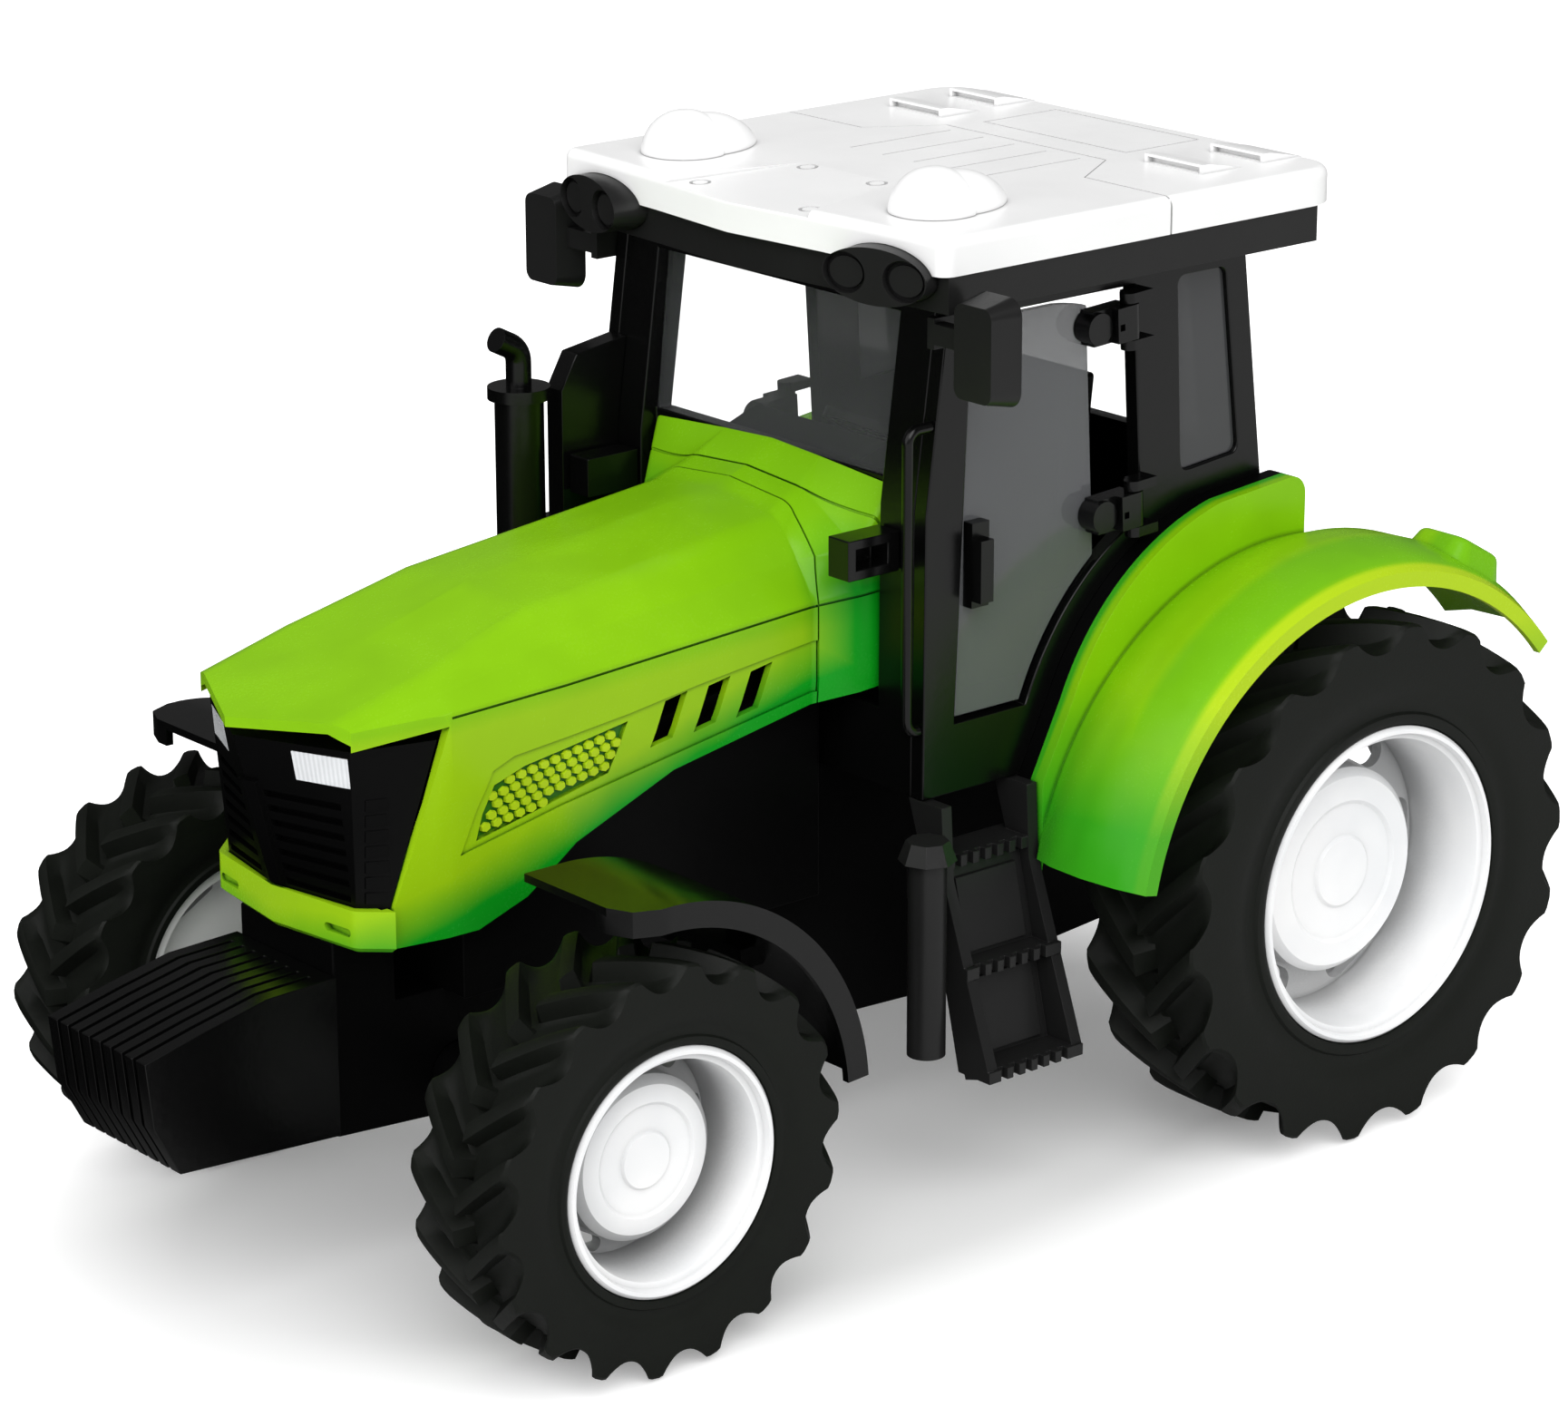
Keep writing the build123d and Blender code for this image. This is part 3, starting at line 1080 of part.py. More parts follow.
BEACON_Y = CAB_HALF - 12.6
BEACON_X = ROOF_FRONT_X - 19.8
BEACON_H = 8.6
BEACON_Z = ROOF_TOP_Z + FIT
with BuildPart() as beacon:
    with BuildSketch(side_plane(BEACON_Y)):
        with BuildLine():
            ThreePointArc((BEACON_X + 8.4, BEACON_Z), (BEACON_X + 6.0, BEACON_Z + 6.1),
                          (BEACON_X, BEACON_Z + BEACON_H))
            ThreePointArc((BEACON_X, BEACON_Z + BEACON_H), (BEACON_X - 2.0, BEACON_Z + BEACON_H - 0.1),
                          (BEACON_X - 3.9, BEACON_Z + BEACON_H - 0.6))
            Line((BEACON_X - 3.9, BEACON_Z + BEACON_H - 0.6), (BEACON_X - 3.9, BEACON_Z + BEACON_H - 1.3))
            ThreePointArc((BEACON_X - 3.9, BEACON_Z + BEACON_H - 1.3), (BEACON_X - 12, BEACON_Z + 5.9),
                          (BEACON_X - 19, BEACON_Z))
            Line((BEACON_X - 19, BEACON_Z), (BEACON_X + 8.4, BEACON_Z))
        make_face()
    revolve(axis=Axis((REAR_X, BEACON_Y, BEACON_Z), (1, 0, 0)), revolution_arc=360)
    split(bisect_by=Plane.XY.offset(BEACON_Z), keep=Keep.TOP)
write_both(beacon.part, "beacons")

# ---- things that stand on the cab -------------------------------------------------------
MIRROR_X = CAB_FRONT_X - 0.3
MIRROR_Y = CAB_HALF + 15.4
MIRROR_Z = CAB_TOP_Z - 5.8
with BuildPart() as wing_mirror:
    with BuildSketch(cross_plane(MIRROR_X - 4)):
        with Locations((MIRROR_Y, MIRROR_Z)):
            RectangleRounded(13, 21, 3.5)
    extrude(amount=6.5, taper=12)
    # rim round the glass, which faces the rear
    with BuildSketch(cross_plane(MIRROR_X - 4)):
        with Locations((MIRROR_Y, MIRROR_Z)):
            RectangleRounded(11, 19, 2.5)
    extrude(amount=0.8, mode=Mode.SUBTRACT)
    # arm, and its foot on the pillar
    add(block((MIRROR_X - 3, MIRROR_X), (CAB_HALF + FIT, MIRROR_Y - 5), (MIRROR_Z - 1, MIRROR_Z + 3)))
    add(block((MIRROR_X - 10, MIRROR_X), (CAB_HALF + FIT, CAB_HALF + 2), (MIRROR_Z - 2, MIRROR_Z + 4)))
write_both(wing_mirror.part, "mirrors")


def front_face_x(z):
    """The slightly leaning front face of the cab's front pillars."""
    (low_x, low_z), (high_x, high_z) = FRONT_LINE[1:3]
    return low_x + (high_x - low_x) * max(0.0, z - low_z) / (high_z - low_z)


RAIL_R = 1.1
RAIL_Y = CAB_HALF - 1.5
RAIL_Z = (98, 158)
RAIL_X = CAB_FRONT_X + 3
with BuildPart() as grab_rail:
    with BuildLine(side_plane(RAIL_Y)) as rail_path:
        FilletPolyline((front_face_x(RAIL_Z[1]) + 0.3, RAIL_Z[1]), (RAIL_X, RAIL_Z[1]), (RAIL_X, RAIL_Z[0]),
                       (CAB_FRONT_X + FIT, RAIL_Z[0]), radius=2.6)
    with BuildSketch(Plane(origin=rail_path.line @ 0, z_dir=rail_path.line % 0)):
        Circle(RAIL_R)
    sweep(path=rail_path.line)
write(grab_rail.part, "grab_rail")

with BuildPart() as bracket:
    add(block((CAB_FRONT_X + FIT, CAB_FRONT_X + 13), (PILLAR_IN + 0.4, PILLAR_IN + 6.4), (129, 137)))
    add(block((CAB_FRONT_X + 3, CAB_FRONT_X + 11), (PILLAR_IN + 1.4, PILLAR_IN + 7.4), (131, 135)),
        mode=Mode.SUBTRACT)
write_both(bracket.part, "mirror_brackets")

EXHAUST_X = CAB_FRONT_X + 22.5
EXHAUST_Y = 3.0 - CAB_HALF
EXHAUST_Z = (98.0, 149.5)  # muffler
DUCT_X = CAB_FRONT_X + 14.0    # front face of the air duct
with BuildPart() as exhaust:
    with BuildSketch(Plane(origin=(REAR_X + EXHAUST_X, EXHAUST_Y, EXHAUST_Z[0]))):
        Circle(5)
    extrude(amount=EXHAUST_Z[1] - EXHAUST_Z[0])
    with BuildSketch(Plane(origin=(REAR_X + EXHAUST_X, EXHAUST_Y, EXHAUST_Z[1]))):
        Circle(6.4)
    extrude(amount=2.5)
    with BuildLine(side_plane(EXHAUST_Y)) as pipe_path:
        FilletPolyline((EXHAUST_X, EXHAUST_Z[1]), (EXHAUST_X, EXHAUST_Z[1] + 10),
                       (EXHAUST_X + 5.5, EXHAUST_Z[1] + 12.8), radius=4)
    with BuildSketch(Plane(origin=pipe_path.line @ 0, z_dir=pipe_path.line % 0)):
        Circle(2.6)
    sweep(path=pipe_path.line)
    # lug that clips to the air duct
    add(block((DUCT_X + FIT, EXHAUST_X), (EXHAUST_Y - 1.5, EXHAUST_Y + 1.5), (118, 124)))
write(exhaust.part, "exhaust")

with BuildPart() as duct:
    with BuildSketch(side_plane(EXHAUST_Y + 3)):
        with BuildLine():
            Polyline((CAB_FRONT_X + FIT, 92), (DUCT_X, 92), (DUCT_X, 150), (DUCT_X - 4, 157),
                     (front_face_x(159) + FIT, 159), (CAB_FRONT_X - 0.5 + FIT, 141), close=True)
        make_face()
    extrude(amount=5)
write(duct.part, "air_duct")

# ---- steps, side tank and hitch ---------------------------------------------------------
STEP_X = (ARCH_FRONT_X - 0.5, CAB_FRONT_X)
RAIL_T = 2.6
# slanted side rail seen from the front: y, z
STEP_RAIL = [(CAB_HALF - 4, FLOOR_Z - FIT), (CAB_HALF + 5.5, FLOOR_Z - FIT), (CAB_HALF + 6.4, 69),
             (CAB_HALF + 20, 32), (CAB_HALF + 13, 30), (CAB_HALF + 1, 69)]
# slanted riser between the rails seen from the front: y, z
RISER = [(CAB_HALF + 3, 72.0), (CAB_HALF + 13, 31.0)]
RISER_T = 2.0
# treads: inner edge, outer edge, underside: y, y, z
TREADS = [(CAB_HALF + 12, CAB_HALF + 20, 31.0), (CAB_HALF + 7, CAB_HALF + 13.4, 50.5),
          (CAB_HALF - 3, CAB_HALF + 6, 71.0)]
TREAD_T = 2.4
PANEL_H = 15.5             # raised panels on the riser above the two lower treads
TOOTH = 1.6                # teeth along a tread's outer edge


def riser_strip(top, bottom, front, back):
    """A slanted strip of the riser between two heights, seen from the front."""
    lean = (RISER[1][0] - RISER[0][0]) / (RISER[0][1] - RISER[1][1])
    line = [(RISER[0][0] + (RISER[0][1] - z) * lean, z) for z in (top, bottom)]
    with BuildSketch(Plane.XY) as strip:
        with BuildLine():
            Polyline(*[(y + front, z) for y, z in line], *[(y - back, z) for y, z in reversed(line)],
                     close=True)
        make_face()
    return strip.sketch


with BuildPart() as steps:
    for x in (STEP_X[0], STEP_X[1] - RAIL_T):
        with BuildSketch(cross_plane(x)):
            with BuildLine():
                Polyline(*STEP_RAIL, close=True)
            make_face()
        extrude(amount=RAIL_T)
    with BuildSketch(cross_plane(STEP_X[0])):
        add(riser_strip(RISER[0][1], RISER[1][1], 0, RISER_T))
    extrude(amount=STEP_X[1] - STEP_X[0])
    for inner, outer, z in TREADS:
        add(block(STEP_X, (inner, outer), (z, z + TREAD_T)))
        tooth_x = STEP_X[0] + RAIL_T + TOOTH
        while tooth_x < STEP_X[1] - RAIL_T - TOOTH:
            add(block((tooth_x, tooth_x + TOOTH), (outer - TOOTH, outer + 1), (z - 1, z + TREAD_T + 1)),
                mode=Mode.SUBTRACT)
            tooth_x += 2 * TOOTH
    for inner, outer, z in TREADS[:2]:
        with BuildSketch(cross_plane(STEP_X[0] + RAIL_T + 2)):
            add(riser_strip(z + TREAD_T + PANEL_H, z + TREAD_T + 1, 0.8, 1))
        extrude(amount=STEP_X[1] - STEP_X[0] - 2 * RAIL_T - 4)
write_pair(steps.part, "steps")

TANK_X = CAB_FRONT_X + 6.7
TANK_Y = CAB_HALF + 9.0
TANK_R = 3.8
with BuildPart() as side_tank:
    with BuildSketch(Plane(origin=(REAR_X + TANK_X, TANK_Y, 36))):
        Circle(TANK_R)
    extrude(amount=40)
    with BuildSketch(Plane(origin=(REAR_X + TANK_X, TANK_Y, 76))):
        RegularPolygon(TANK_R + 2, 8)
    extrude(amount=4, taper=20)
    # lug that clips to the front rail of the steps
    add(block((STEP_X[1] + FIT, TANK_X - 1), (TANK_Y - 7, TANK_Y - 2), (66, 72)))
write_both(side_tank.part, "side_tanks")

with BuildPart() as hitch:
    add(block((-52, -36 - FIT), (-6, 6), (44, 44 + HITCH_T)))
    with BuildSketch(plan_plane(44)):
        with Locations((-46, 0)):
            Circle(HITCH_BORE_R)
    extrude(amount=HITCH_T, mode=Mode.SUBTRACT)
write(hitch.part, "tow_hitch")
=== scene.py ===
"""Looks for a toy farm tractor: moulded plastics, lugged tyres and the studio it stands in."""
import json
import math

import bmesh
import bpy
from mathutils import Color, Matrix, Vector
from mathutils.bvhtree import BVHTree


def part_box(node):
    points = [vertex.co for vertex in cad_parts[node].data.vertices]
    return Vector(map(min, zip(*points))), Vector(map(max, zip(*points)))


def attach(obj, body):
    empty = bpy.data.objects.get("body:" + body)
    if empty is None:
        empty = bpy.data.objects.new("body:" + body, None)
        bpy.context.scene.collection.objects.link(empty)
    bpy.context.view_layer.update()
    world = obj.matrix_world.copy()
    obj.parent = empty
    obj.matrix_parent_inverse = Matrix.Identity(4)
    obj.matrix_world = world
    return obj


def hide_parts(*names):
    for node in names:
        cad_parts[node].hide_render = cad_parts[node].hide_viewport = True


bl_info = {
    "name": "Toy farm tractor",
    "version": (1, 0, 0),
    "blender": (4, 5, 0),
    "location": "View3D > Sidebar > Toy tractor",
    "description": "Moulded finishes, tyres, trim and a studio for a toy farm tractor",
    "category": "Object",
}

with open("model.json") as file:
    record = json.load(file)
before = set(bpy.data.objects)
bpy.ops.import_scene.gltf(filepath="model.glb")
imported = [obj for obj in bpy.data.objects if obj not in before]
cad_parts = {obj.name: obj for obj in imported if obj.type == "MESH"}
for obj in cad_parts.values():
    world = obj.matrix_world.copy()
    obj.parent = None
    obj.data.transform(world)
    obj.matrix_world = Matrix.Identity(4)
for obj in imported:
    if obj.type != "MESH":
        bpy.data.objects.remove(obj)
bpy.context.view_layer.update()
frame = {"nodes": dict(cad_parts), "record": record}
MM = 0.001
BODY = "tractor_body"
BODY_OF = {node: body for body, nodes in frame["record"]["behaviour"]["bodies"].items() for node in nodes}


# ---- settings -----------------------------------------------------------------------------
def colour(name, description, value):
    return bpy.props.FloatVectorProperty(name=name, description=description, default=value,
                                         subtype="COLOR_GAMMA", size=3, min=0.0, max=1.0)


def length(name, description, value):
    return bpy.props.FloatProperty(name=name, description=description, default=value,
                                   unit="LENGTH", min=0.0)


def strength(name, description, value):
    return bpy.props.FloatProperty(name=name, description=description, default=value, min=0.0)


class TractorColours(bpy.types.PropertyGroup):
    """Colours of the plastics and the tyres."""
    green: colour("Green", "Hood, cowl and rear fenders", (0.515, 0.745, 0.04))
    # colour of the painted shade low on the green panels, in their seams and in the vent pockets
    green_painted_shade: colour("Deep green", "Low on the green panels and in their seams", (0.05, 0.62, 0.11))
    # the honeycomb's own pale green, and the colour of the painted highlight on fender lips and hood sides
    pale_green_and_highlight: colour("Pale green", "Fender lips, hood sides and honeycomb", (0.70, 0.83, 0.10))
    white: colour("White", "Roof and beacons", (0.985, 0.985, 0.985))
    rim: colour("Rim white", "Rims", (0.95, 0.955, 0.96))
    black: colour("Black", "Glossy cab frame, weights and front fenders", (0.02, 0.021, 0.021))
    chassis: colour("Chassis black", "Satin chassis, axles, grille and seat", (0.015, 0.015, 0.016))
    pod: colour("Dark grey", "Roof frame, lamp pods, mirrors, steps and side tanks", (0.11, 0.11, 0.11))
    rubber: colour("Rubber", "Tyres", (0.065, 0.075, 0.06))
    smoke: colour("Smoked glass", "Left door", (0.40, 0.405, 0.415))
    quarter: colour("Dark smoked glass", "Side windows behind the doors", (0.26, 0.262, 0.27))
    screen: colour("Clear glass", "Windshield, rear window and right door", (0.62, 0.63, 0.64))
    lens: colour("Lens", "Headlights", (0.95, 0.96, 0.97))
    floor: colour("Floor", "Studio floor", (0.975, 0.975, 0.975))


class TractorSizes(bpy.types.PropertyGroup):
    """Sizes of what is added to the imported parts."""
    edge: length("Edge rounding", "Radius on the moulded edges of the body panels", 0.45 * MM)


class TractorStudio(bpy.types.PropertyGroup):
    """Light round the tractor."""
    key: strength("Key lamp", "Strength of the broad lamp on the left", 1.6)
    front: strength("Front lamp", "Strength of the broad lamp in front", 0.85)
    ambient: strength("Ambient", "Strength of the light from all round", 0.6)
    gloss: strength("Gloss surroundings", "Strength of the room that shows in gloss", 0.10)
    # the floor's glow near the wheels, weaker than farther out: painted shadow round the tractor
    lift: strength("Floor lift", "Light that the floor near the wheels gives to the view", 0.13)


def linear(value):
    """A setting's colour as the shaders read it."""
    return (*Color(value).from_srgb_to_scene_linear(), 1.0)


def shaded(value, share):
    """A colour made darker or lighter by a share."""
    return linear([min(1.0, part * share) for part in value])


# ---- materials ----------------------------------------------------------------------------
class Shade:
    """A socket of a finish. Arithmetic on it adds Math nodes."""

    def __init__(self, finish, socket):
        self.finish = finish
        self.socket = socket

    def largest(self, other):
        return self.maths("MAXIMUM", other)

    def smallest(self, other):
        return self.maths("MINIMUM", other)

    def maths(self, operation, other, swapped=False):
        first, second = (other, self) if swapped else (self, other)
        return self.finish.node("ShaderNodeMath", {"operation": operation}, {0: first, 1: second})

    def __add__(self, other):
        return self.maths("ADD", other)

    def __sub__(self, other):
        return self.maths("SUBTRACT", other)

    def __rsub__(self, other):
        return self.maths("SUBTRACT", other, True)

    def __mul__(self, other):
        return self.maths("MULTIPLY", other)

    __radd__ = __add__
    __rmul__ = __mul__


class Finish:
    """A procedural material: a shader and the nodes that vary it over the surface."""

    def __init__(self, name, **sockets):
        self.material = bpy.data.materials.new(name)
        self.material.use_nodes = True
        self.start(self.material.node_tree, "ShaderNodeBsdfPrincipled", "ShaderNodeOutputMaterial")
        self.set(**sockets)

    def start(self, tree, shader, output):
        """Empties a node tree and leads a shader to its output."""
        self.tree = tree
        self.place = None
        tree.nodes.clear()
        self.shader = self.node(shader)
        tree.links.new(self.shader.socket, tree.nodes.new(output).inputs["Surface"])

    def node(self, kind, options=None, sockets=None, output=0):
        """Adds a node: its options first, then the values and links of its sockets."""
        made = self.tree.nodes.new(kind)
        for name, value in (options or {}).items():
            if name == "stops":
                ramp = made.color_ramp
                while len(ramp.elements) < len(value):
                    ramp.elements.new(1.0)
                for element, (position, shade) in zip(ramp.elements, value):
                    element.position = position
                    element.color = shade
            else:
                setattr(made, name, value)
        for name, value in (sockets or {}).items():
            self.feed(made.inputs[name], value)
        return Shade(self, made.outputs[output])

    def feed(self, socket, value):
        """Links a socket to a shade, or sets its constant."""
        if isinstance(value, Shade):
            self.tree.links.new(value.socket, socket)
        else:
            socket.default_value = value

    def set(self, **sockets):
        """Feeds the shader's sockets, named with underscores."""
        for name, value in sockets.items():
            self.feed(self.shader.socket.node.inputs[name.replace("_", " ")], value)

    def position(self):
        """The place on the piece, in metres."""
        if self.place is None:
            self.place = self.node("ShaderNodeTexCoord", output="Object")
        return self.place

    def noise(self, size, detail=3.0, roughness=0.55):
        """Noise from 0 to 1 with spots of about a size in metres."""
        return self.node("ShaderNodeTexNoise", {}, {
            "Vector": self.position(), "Scale": 1.0 / size, "Detail": detail, "Roughness": roughness})

    def mix(self, factor, first, second):
        """A colour between two colours."""
        return self.node("ShaderNodeMix", {"data_type": "RGBA"},
                         {0: factor, 6: first, 7: second}, output=2)

    def ramp(self, factor, stops):
        """A grey level that follows stops of position and level."""
        greys = [(position, (level, level, level, 1.0)) for position, level in stops]
        return self.node("ShaderNodeValToRGB", {"stops": greys}, {"Fac": factor})

    def fade(self, value, start, end, level=1.0):
        """0 before a start, a level past an end, and even steps between them."""
        return self.ramp((value - start) * (1.0 / (end - start)), [(0.0, 0.0), (1.0, level)])

    def axis(self, letter):
        """One coordinate of the place on the piece, in metres."""
        return self.node("ShaderNodeSeparateXYZ", {}, {"Vector": self.position()}, output=letter)

    def crease(self, reach):
        """Painted shade mask: 1 deep in a seam or an inner corner narrower than a reach in metres, 0 in the
        open.
        """
        light = self.node("ShaderNodeAmbientOcclusion", {"samples": 4}, {"Distance": reach}, output="AO")
        return self.ramp(light, [(0.38, 1.0), (0.88, 0.0)])

    def ray(self, kind):
        """1 for one kind of ray and 0 for the others."""
        return self.node("ShaderNodeLightPath", output=kind)

    def height(self, rise):
        """Bumps the surface by a height, in metres, that varies over it."""
        self.set(Normal=self.node("ShaderNodeBump", {},
                                  {"Strength": 1.0, "Distance": 1.0, "Height": rise}))


class Sky(Finish):
    """The studio's surroundings."""

    def __init__(self, tree):
        self.start(tree, "ShaderNodeBackground", "ShaderNodeOutputWorld")
        self.set(Color=(1.0, 1.0, 1.0, 1.0))


# ---- painted shade and painted highlight on the green -------------------------------------
AXLE_X = -98.15                     # rear axle, in millimetres
# the pocket in the hood's side, seen from the left: x from the rear axle, z
VENT = [(184.2, 90.9), (183.0, 96.0), (180.5, 101.3), (173.5, 103.6), (149.2, 107.2), (153.7, 97.8)]
# straight lines along the hood's side: height at x = 0 in metres, fall for each metre forwards
LOWER_EDGE = (0.1098, 0.36)
SIDE_SEAM = (0.1196, 0.04)
# share of painted shade in deep green across a rear fender, from its inner edge at 0 to its outer lip at 1
FENDER_PAINTED_SHADE = [(0.0, 0.85), (0.03, 0.85), (0.07, 0.0), (0.55, 0.0), (0.62, 0.3), (0.9, 0.3), (0.93, 0.0)]
# where painted shade or highlight on the green starts, where it is full, and how much there is then
LOWER_BAND = (11 * MM, 1.1 * MM)            # height over the lower edge
CORNER_FRONT = (10 * MM, -2 * MM)           # x
CORNER_TOP = (142 * MM, 126 * MM)           # z
REARWARDS = (50 * MM, 0.0, 0.16)            # x
UNDER_SEAM = (0.0, -3 * MM, 0.42)           # height over the side's seam
VENT_RIM = (0.04 * MM, 0.4 * MM, 0.92)      # distance from the pocket's edge
FENDER_FOOT = (106 * MM, 82 * MM, 0.85)     # z
FENDER_LIP_HIGHLIGHT = (0.92, 0.95)                   # share of the way across the fender
HOOD_WAVE = 5 * MM                          # how much the borders rise and fall
FENDER_WAVE = 6 * MM


def above(finish, line):
    """Height over a straight line along the hood's side, in metres."""
    start, fall = line
    return finish.axis("Z") - (start - finish.axis("X") * fall)


def hood_painted_shade(finish, blotch):
    """Painted shade: deep green along the hood's lower edge, low on the cowl's corner and a little to the
    rear.
    """
    x = finish.axis("X")
    wave = blotch * HOOD_WAVE
    edge = finish.fade(above(finish, LOWER_EDGE) + wave, *LOWER_BAND)
    corner = finish.fade(x, *CORNER_FRONT) * finish.fade(finish.axis("Z") + wave, *CORNER_TOP)
    return edge.largest(corner).largest(finish.fade(x, *REARWARDS))


def hood_side_highlight(finish):
    """Painted highlight in pale green on the upright side of the hood, below its seam."""
    return finish.fade(above(finish, SIDE_SEAM), *UNDER_SEAM)


def vent_floor_shade(finish):
    """Painted shade in dark green on the floor of the hood's vent pockets."""
    x, z = finish.axis("X"), finish.axis("Z")
    inset = None
    for (ax, az), (bx, bz) in zip(VENT, VENT[1:] + VENT[:1]):
        side = math.hypot(bx - ax, bz - az)
        run, rise = (bx - ax) / side, (bz - az) / side
        inside = z * run - x * rise + (rise * (ax + AXLE_X) - run * az) * MM
        inset = inside if inset is None else inset.smallest(inside)
    return finish.fade(inset, *VENT_RIM)


def across_fender(finish):
    """0 at the inner edge of the rear fenders, 1 at their outer lip."""
    low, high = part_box("rear_fender_left")
    side = finish.node("ShaderNodeMath", {"operation": "ABSOLUTE"}, {0: finish.axis("Y")})
    return (side - low[1]) * (1.0 / (high[1] - low[1]))


def fender_painted_shade(finish, blotch):
    """Painted shade in deep green on a fender's foot and inner edge, and some in a band near its outer lip.
    """
    foot = finish.fade(finish.axis("Z") + blotch * FENDER_WAVE, *FENDER_FOOT)
    return foot.largest(finish.ramp(across_fender(finish), FENDER_PAINTED_SHADE))


def fender_lip_highlight(finish):
    """Painted highlight in pale green on a fender's outer lip."""
    return finish.fade(across_fender(finish), *FENDER_LIP_HIGHLIGHT)


def green_tone(finish, tone, blotch, fenders):
    """The green of the fenders or of the hood, cowl and lip, with its painted shade and painted highlight."""
    tint = bpy.context.scene.tractor_colours
    # pale is the painted highlight's green, deep the painted shade's green
    pale, deep = linear(tint.pale_green_and_highlight), linear(tint.green_painted_shade)
    if fenders:
        tone = finish.mix(fender_lip_highlight(finish), tone, pale)
        return finish.mix(fender_painted_shade(finish, blotch), tone, deep)
    tone = finish.mix(hood_side_highlight(finish), tone, pale)
    tone = finish.mix(hood_painted_shade(finish, blotch), tone, deep)
    return finish.mix(vent_floor_shade(finish), tone, shaded(tint.green_painted_shade, 0.62))


# ---- finishes -----------------------------------------------------------------------------
# reaches of the painted shade taken from ambient occlusion
SEAM_REACH = 1.1 * MM               # width of the seams and corners that look dark
HOLLOW_REACH = 10 * MM              # width of a hollow that looks dim, such as a rim's barrel
FLUTES = 7000.0                     # turn of the wave across a headlight, in radians for each metre


def moulded(name, base, roughness, grain=0.006 * MM, green=None, crease=0.0, hollow=0.0, **sockets):
    """Injection-moulded plastic: faint flow in the skin, a little dust and wear in the gloss.
    green is hood or fender; crease and hollow set how much painted shade darkens seams and hollows."""
    finish = Finish(name, **sockets)
    blotch = finish.noise(20 * MM, 2.0)
    dust = finish.noise(0.6 * MM, 4.0)
    tone = finish.mix(finish.fade(blotch, 0.3, 0.7), linear(base),
                      linear([min(1.0, part * 1.05 + 0.004) for part in base]))
    # seam is the colour of the painted shade in seams
    seam = base
    # green panels get painted shade and painted highlight
    if green:
        tone = green_tone(finish, tone, blotch, green == "fender")
        seam = bpy.context.scene.tractor_colours.green_painted_shade
    # painted shade in seams and inner corners
    if crease:
        tone = finish.mix(finish.crease(SEAM_REACH) * crease, tone, shaded(seam, 0.42))
    # painted shade in wide hollows, such as a rim's barrel
    if hollow:
        tone = finish.mix(finish.crease(HOLLOW_REACH) * hollow, tone, shaded(base, 0.5))
    finish.set(Base_Color=tone, Roughness=roughness + (dust - 0.5) * 0.10 + (blotch - 0.5) * 0.06)
    finish.height(finish.noise(3.5 * MM, 2.0) * (grain * 6) + dust * grain)
    return finish.material


def rubber(name, base):
    """Soft black rubber with a dusty bloom and a fine moulded grain."""
    finish = Finish(name, Specular_IOR_Level=0.2)
    bloom = finish.noise(12 * MM, 5.0, 0.65)
    grain = finish.noise(0.5 * MM)
    finish.set(Base_Color=finish.mix(finish.fade(bloom, 0.35, 0.75), linear(base), shaded(base, 1.25)),
               Roughness=0.52 + (bloom - 0.5) * 0.25)
    finish.height(grain * (0.03 * MM) + bloom * (0.05 * MM))
    return finish.material


def glass(name, base, alpha):
    """A clear moulded window: a tinted skin that lets the inside show."""
    finish = Finish(name)
    smear = finish.noise(15 * MM)
    finish.set(Base_Color=finish.mix(smear, linear(base), shaded(base, 0.94)),
               Roughness=0.08 + smear * 0.04, Alpha=alpha + (smear - 0.5) * 0.04)
    finish.height(finish.noise(10 * MM, 1.0) * (0.03 * MM))
    return finish.material


def lens(name, base):
    """A white headlight lens with fine upright flutes."""
    finish = Finish(name, Coat_Weight=0.5)
    flutes = finish.node("ShaderNodeMath", {"operation": "SINE"}, {0: finish.axis("Y") * FLUTES})
    cloud = finish.noise(3 * MM, 2.0)
    finish.set(Base_Color=finish.mix(cloud, linear(base), shaded(base, 0.93)),
               Roughness=0.08 + cloud * 0.05)
    finish.height(flutes * (0.05 * MM))
    return finish.material


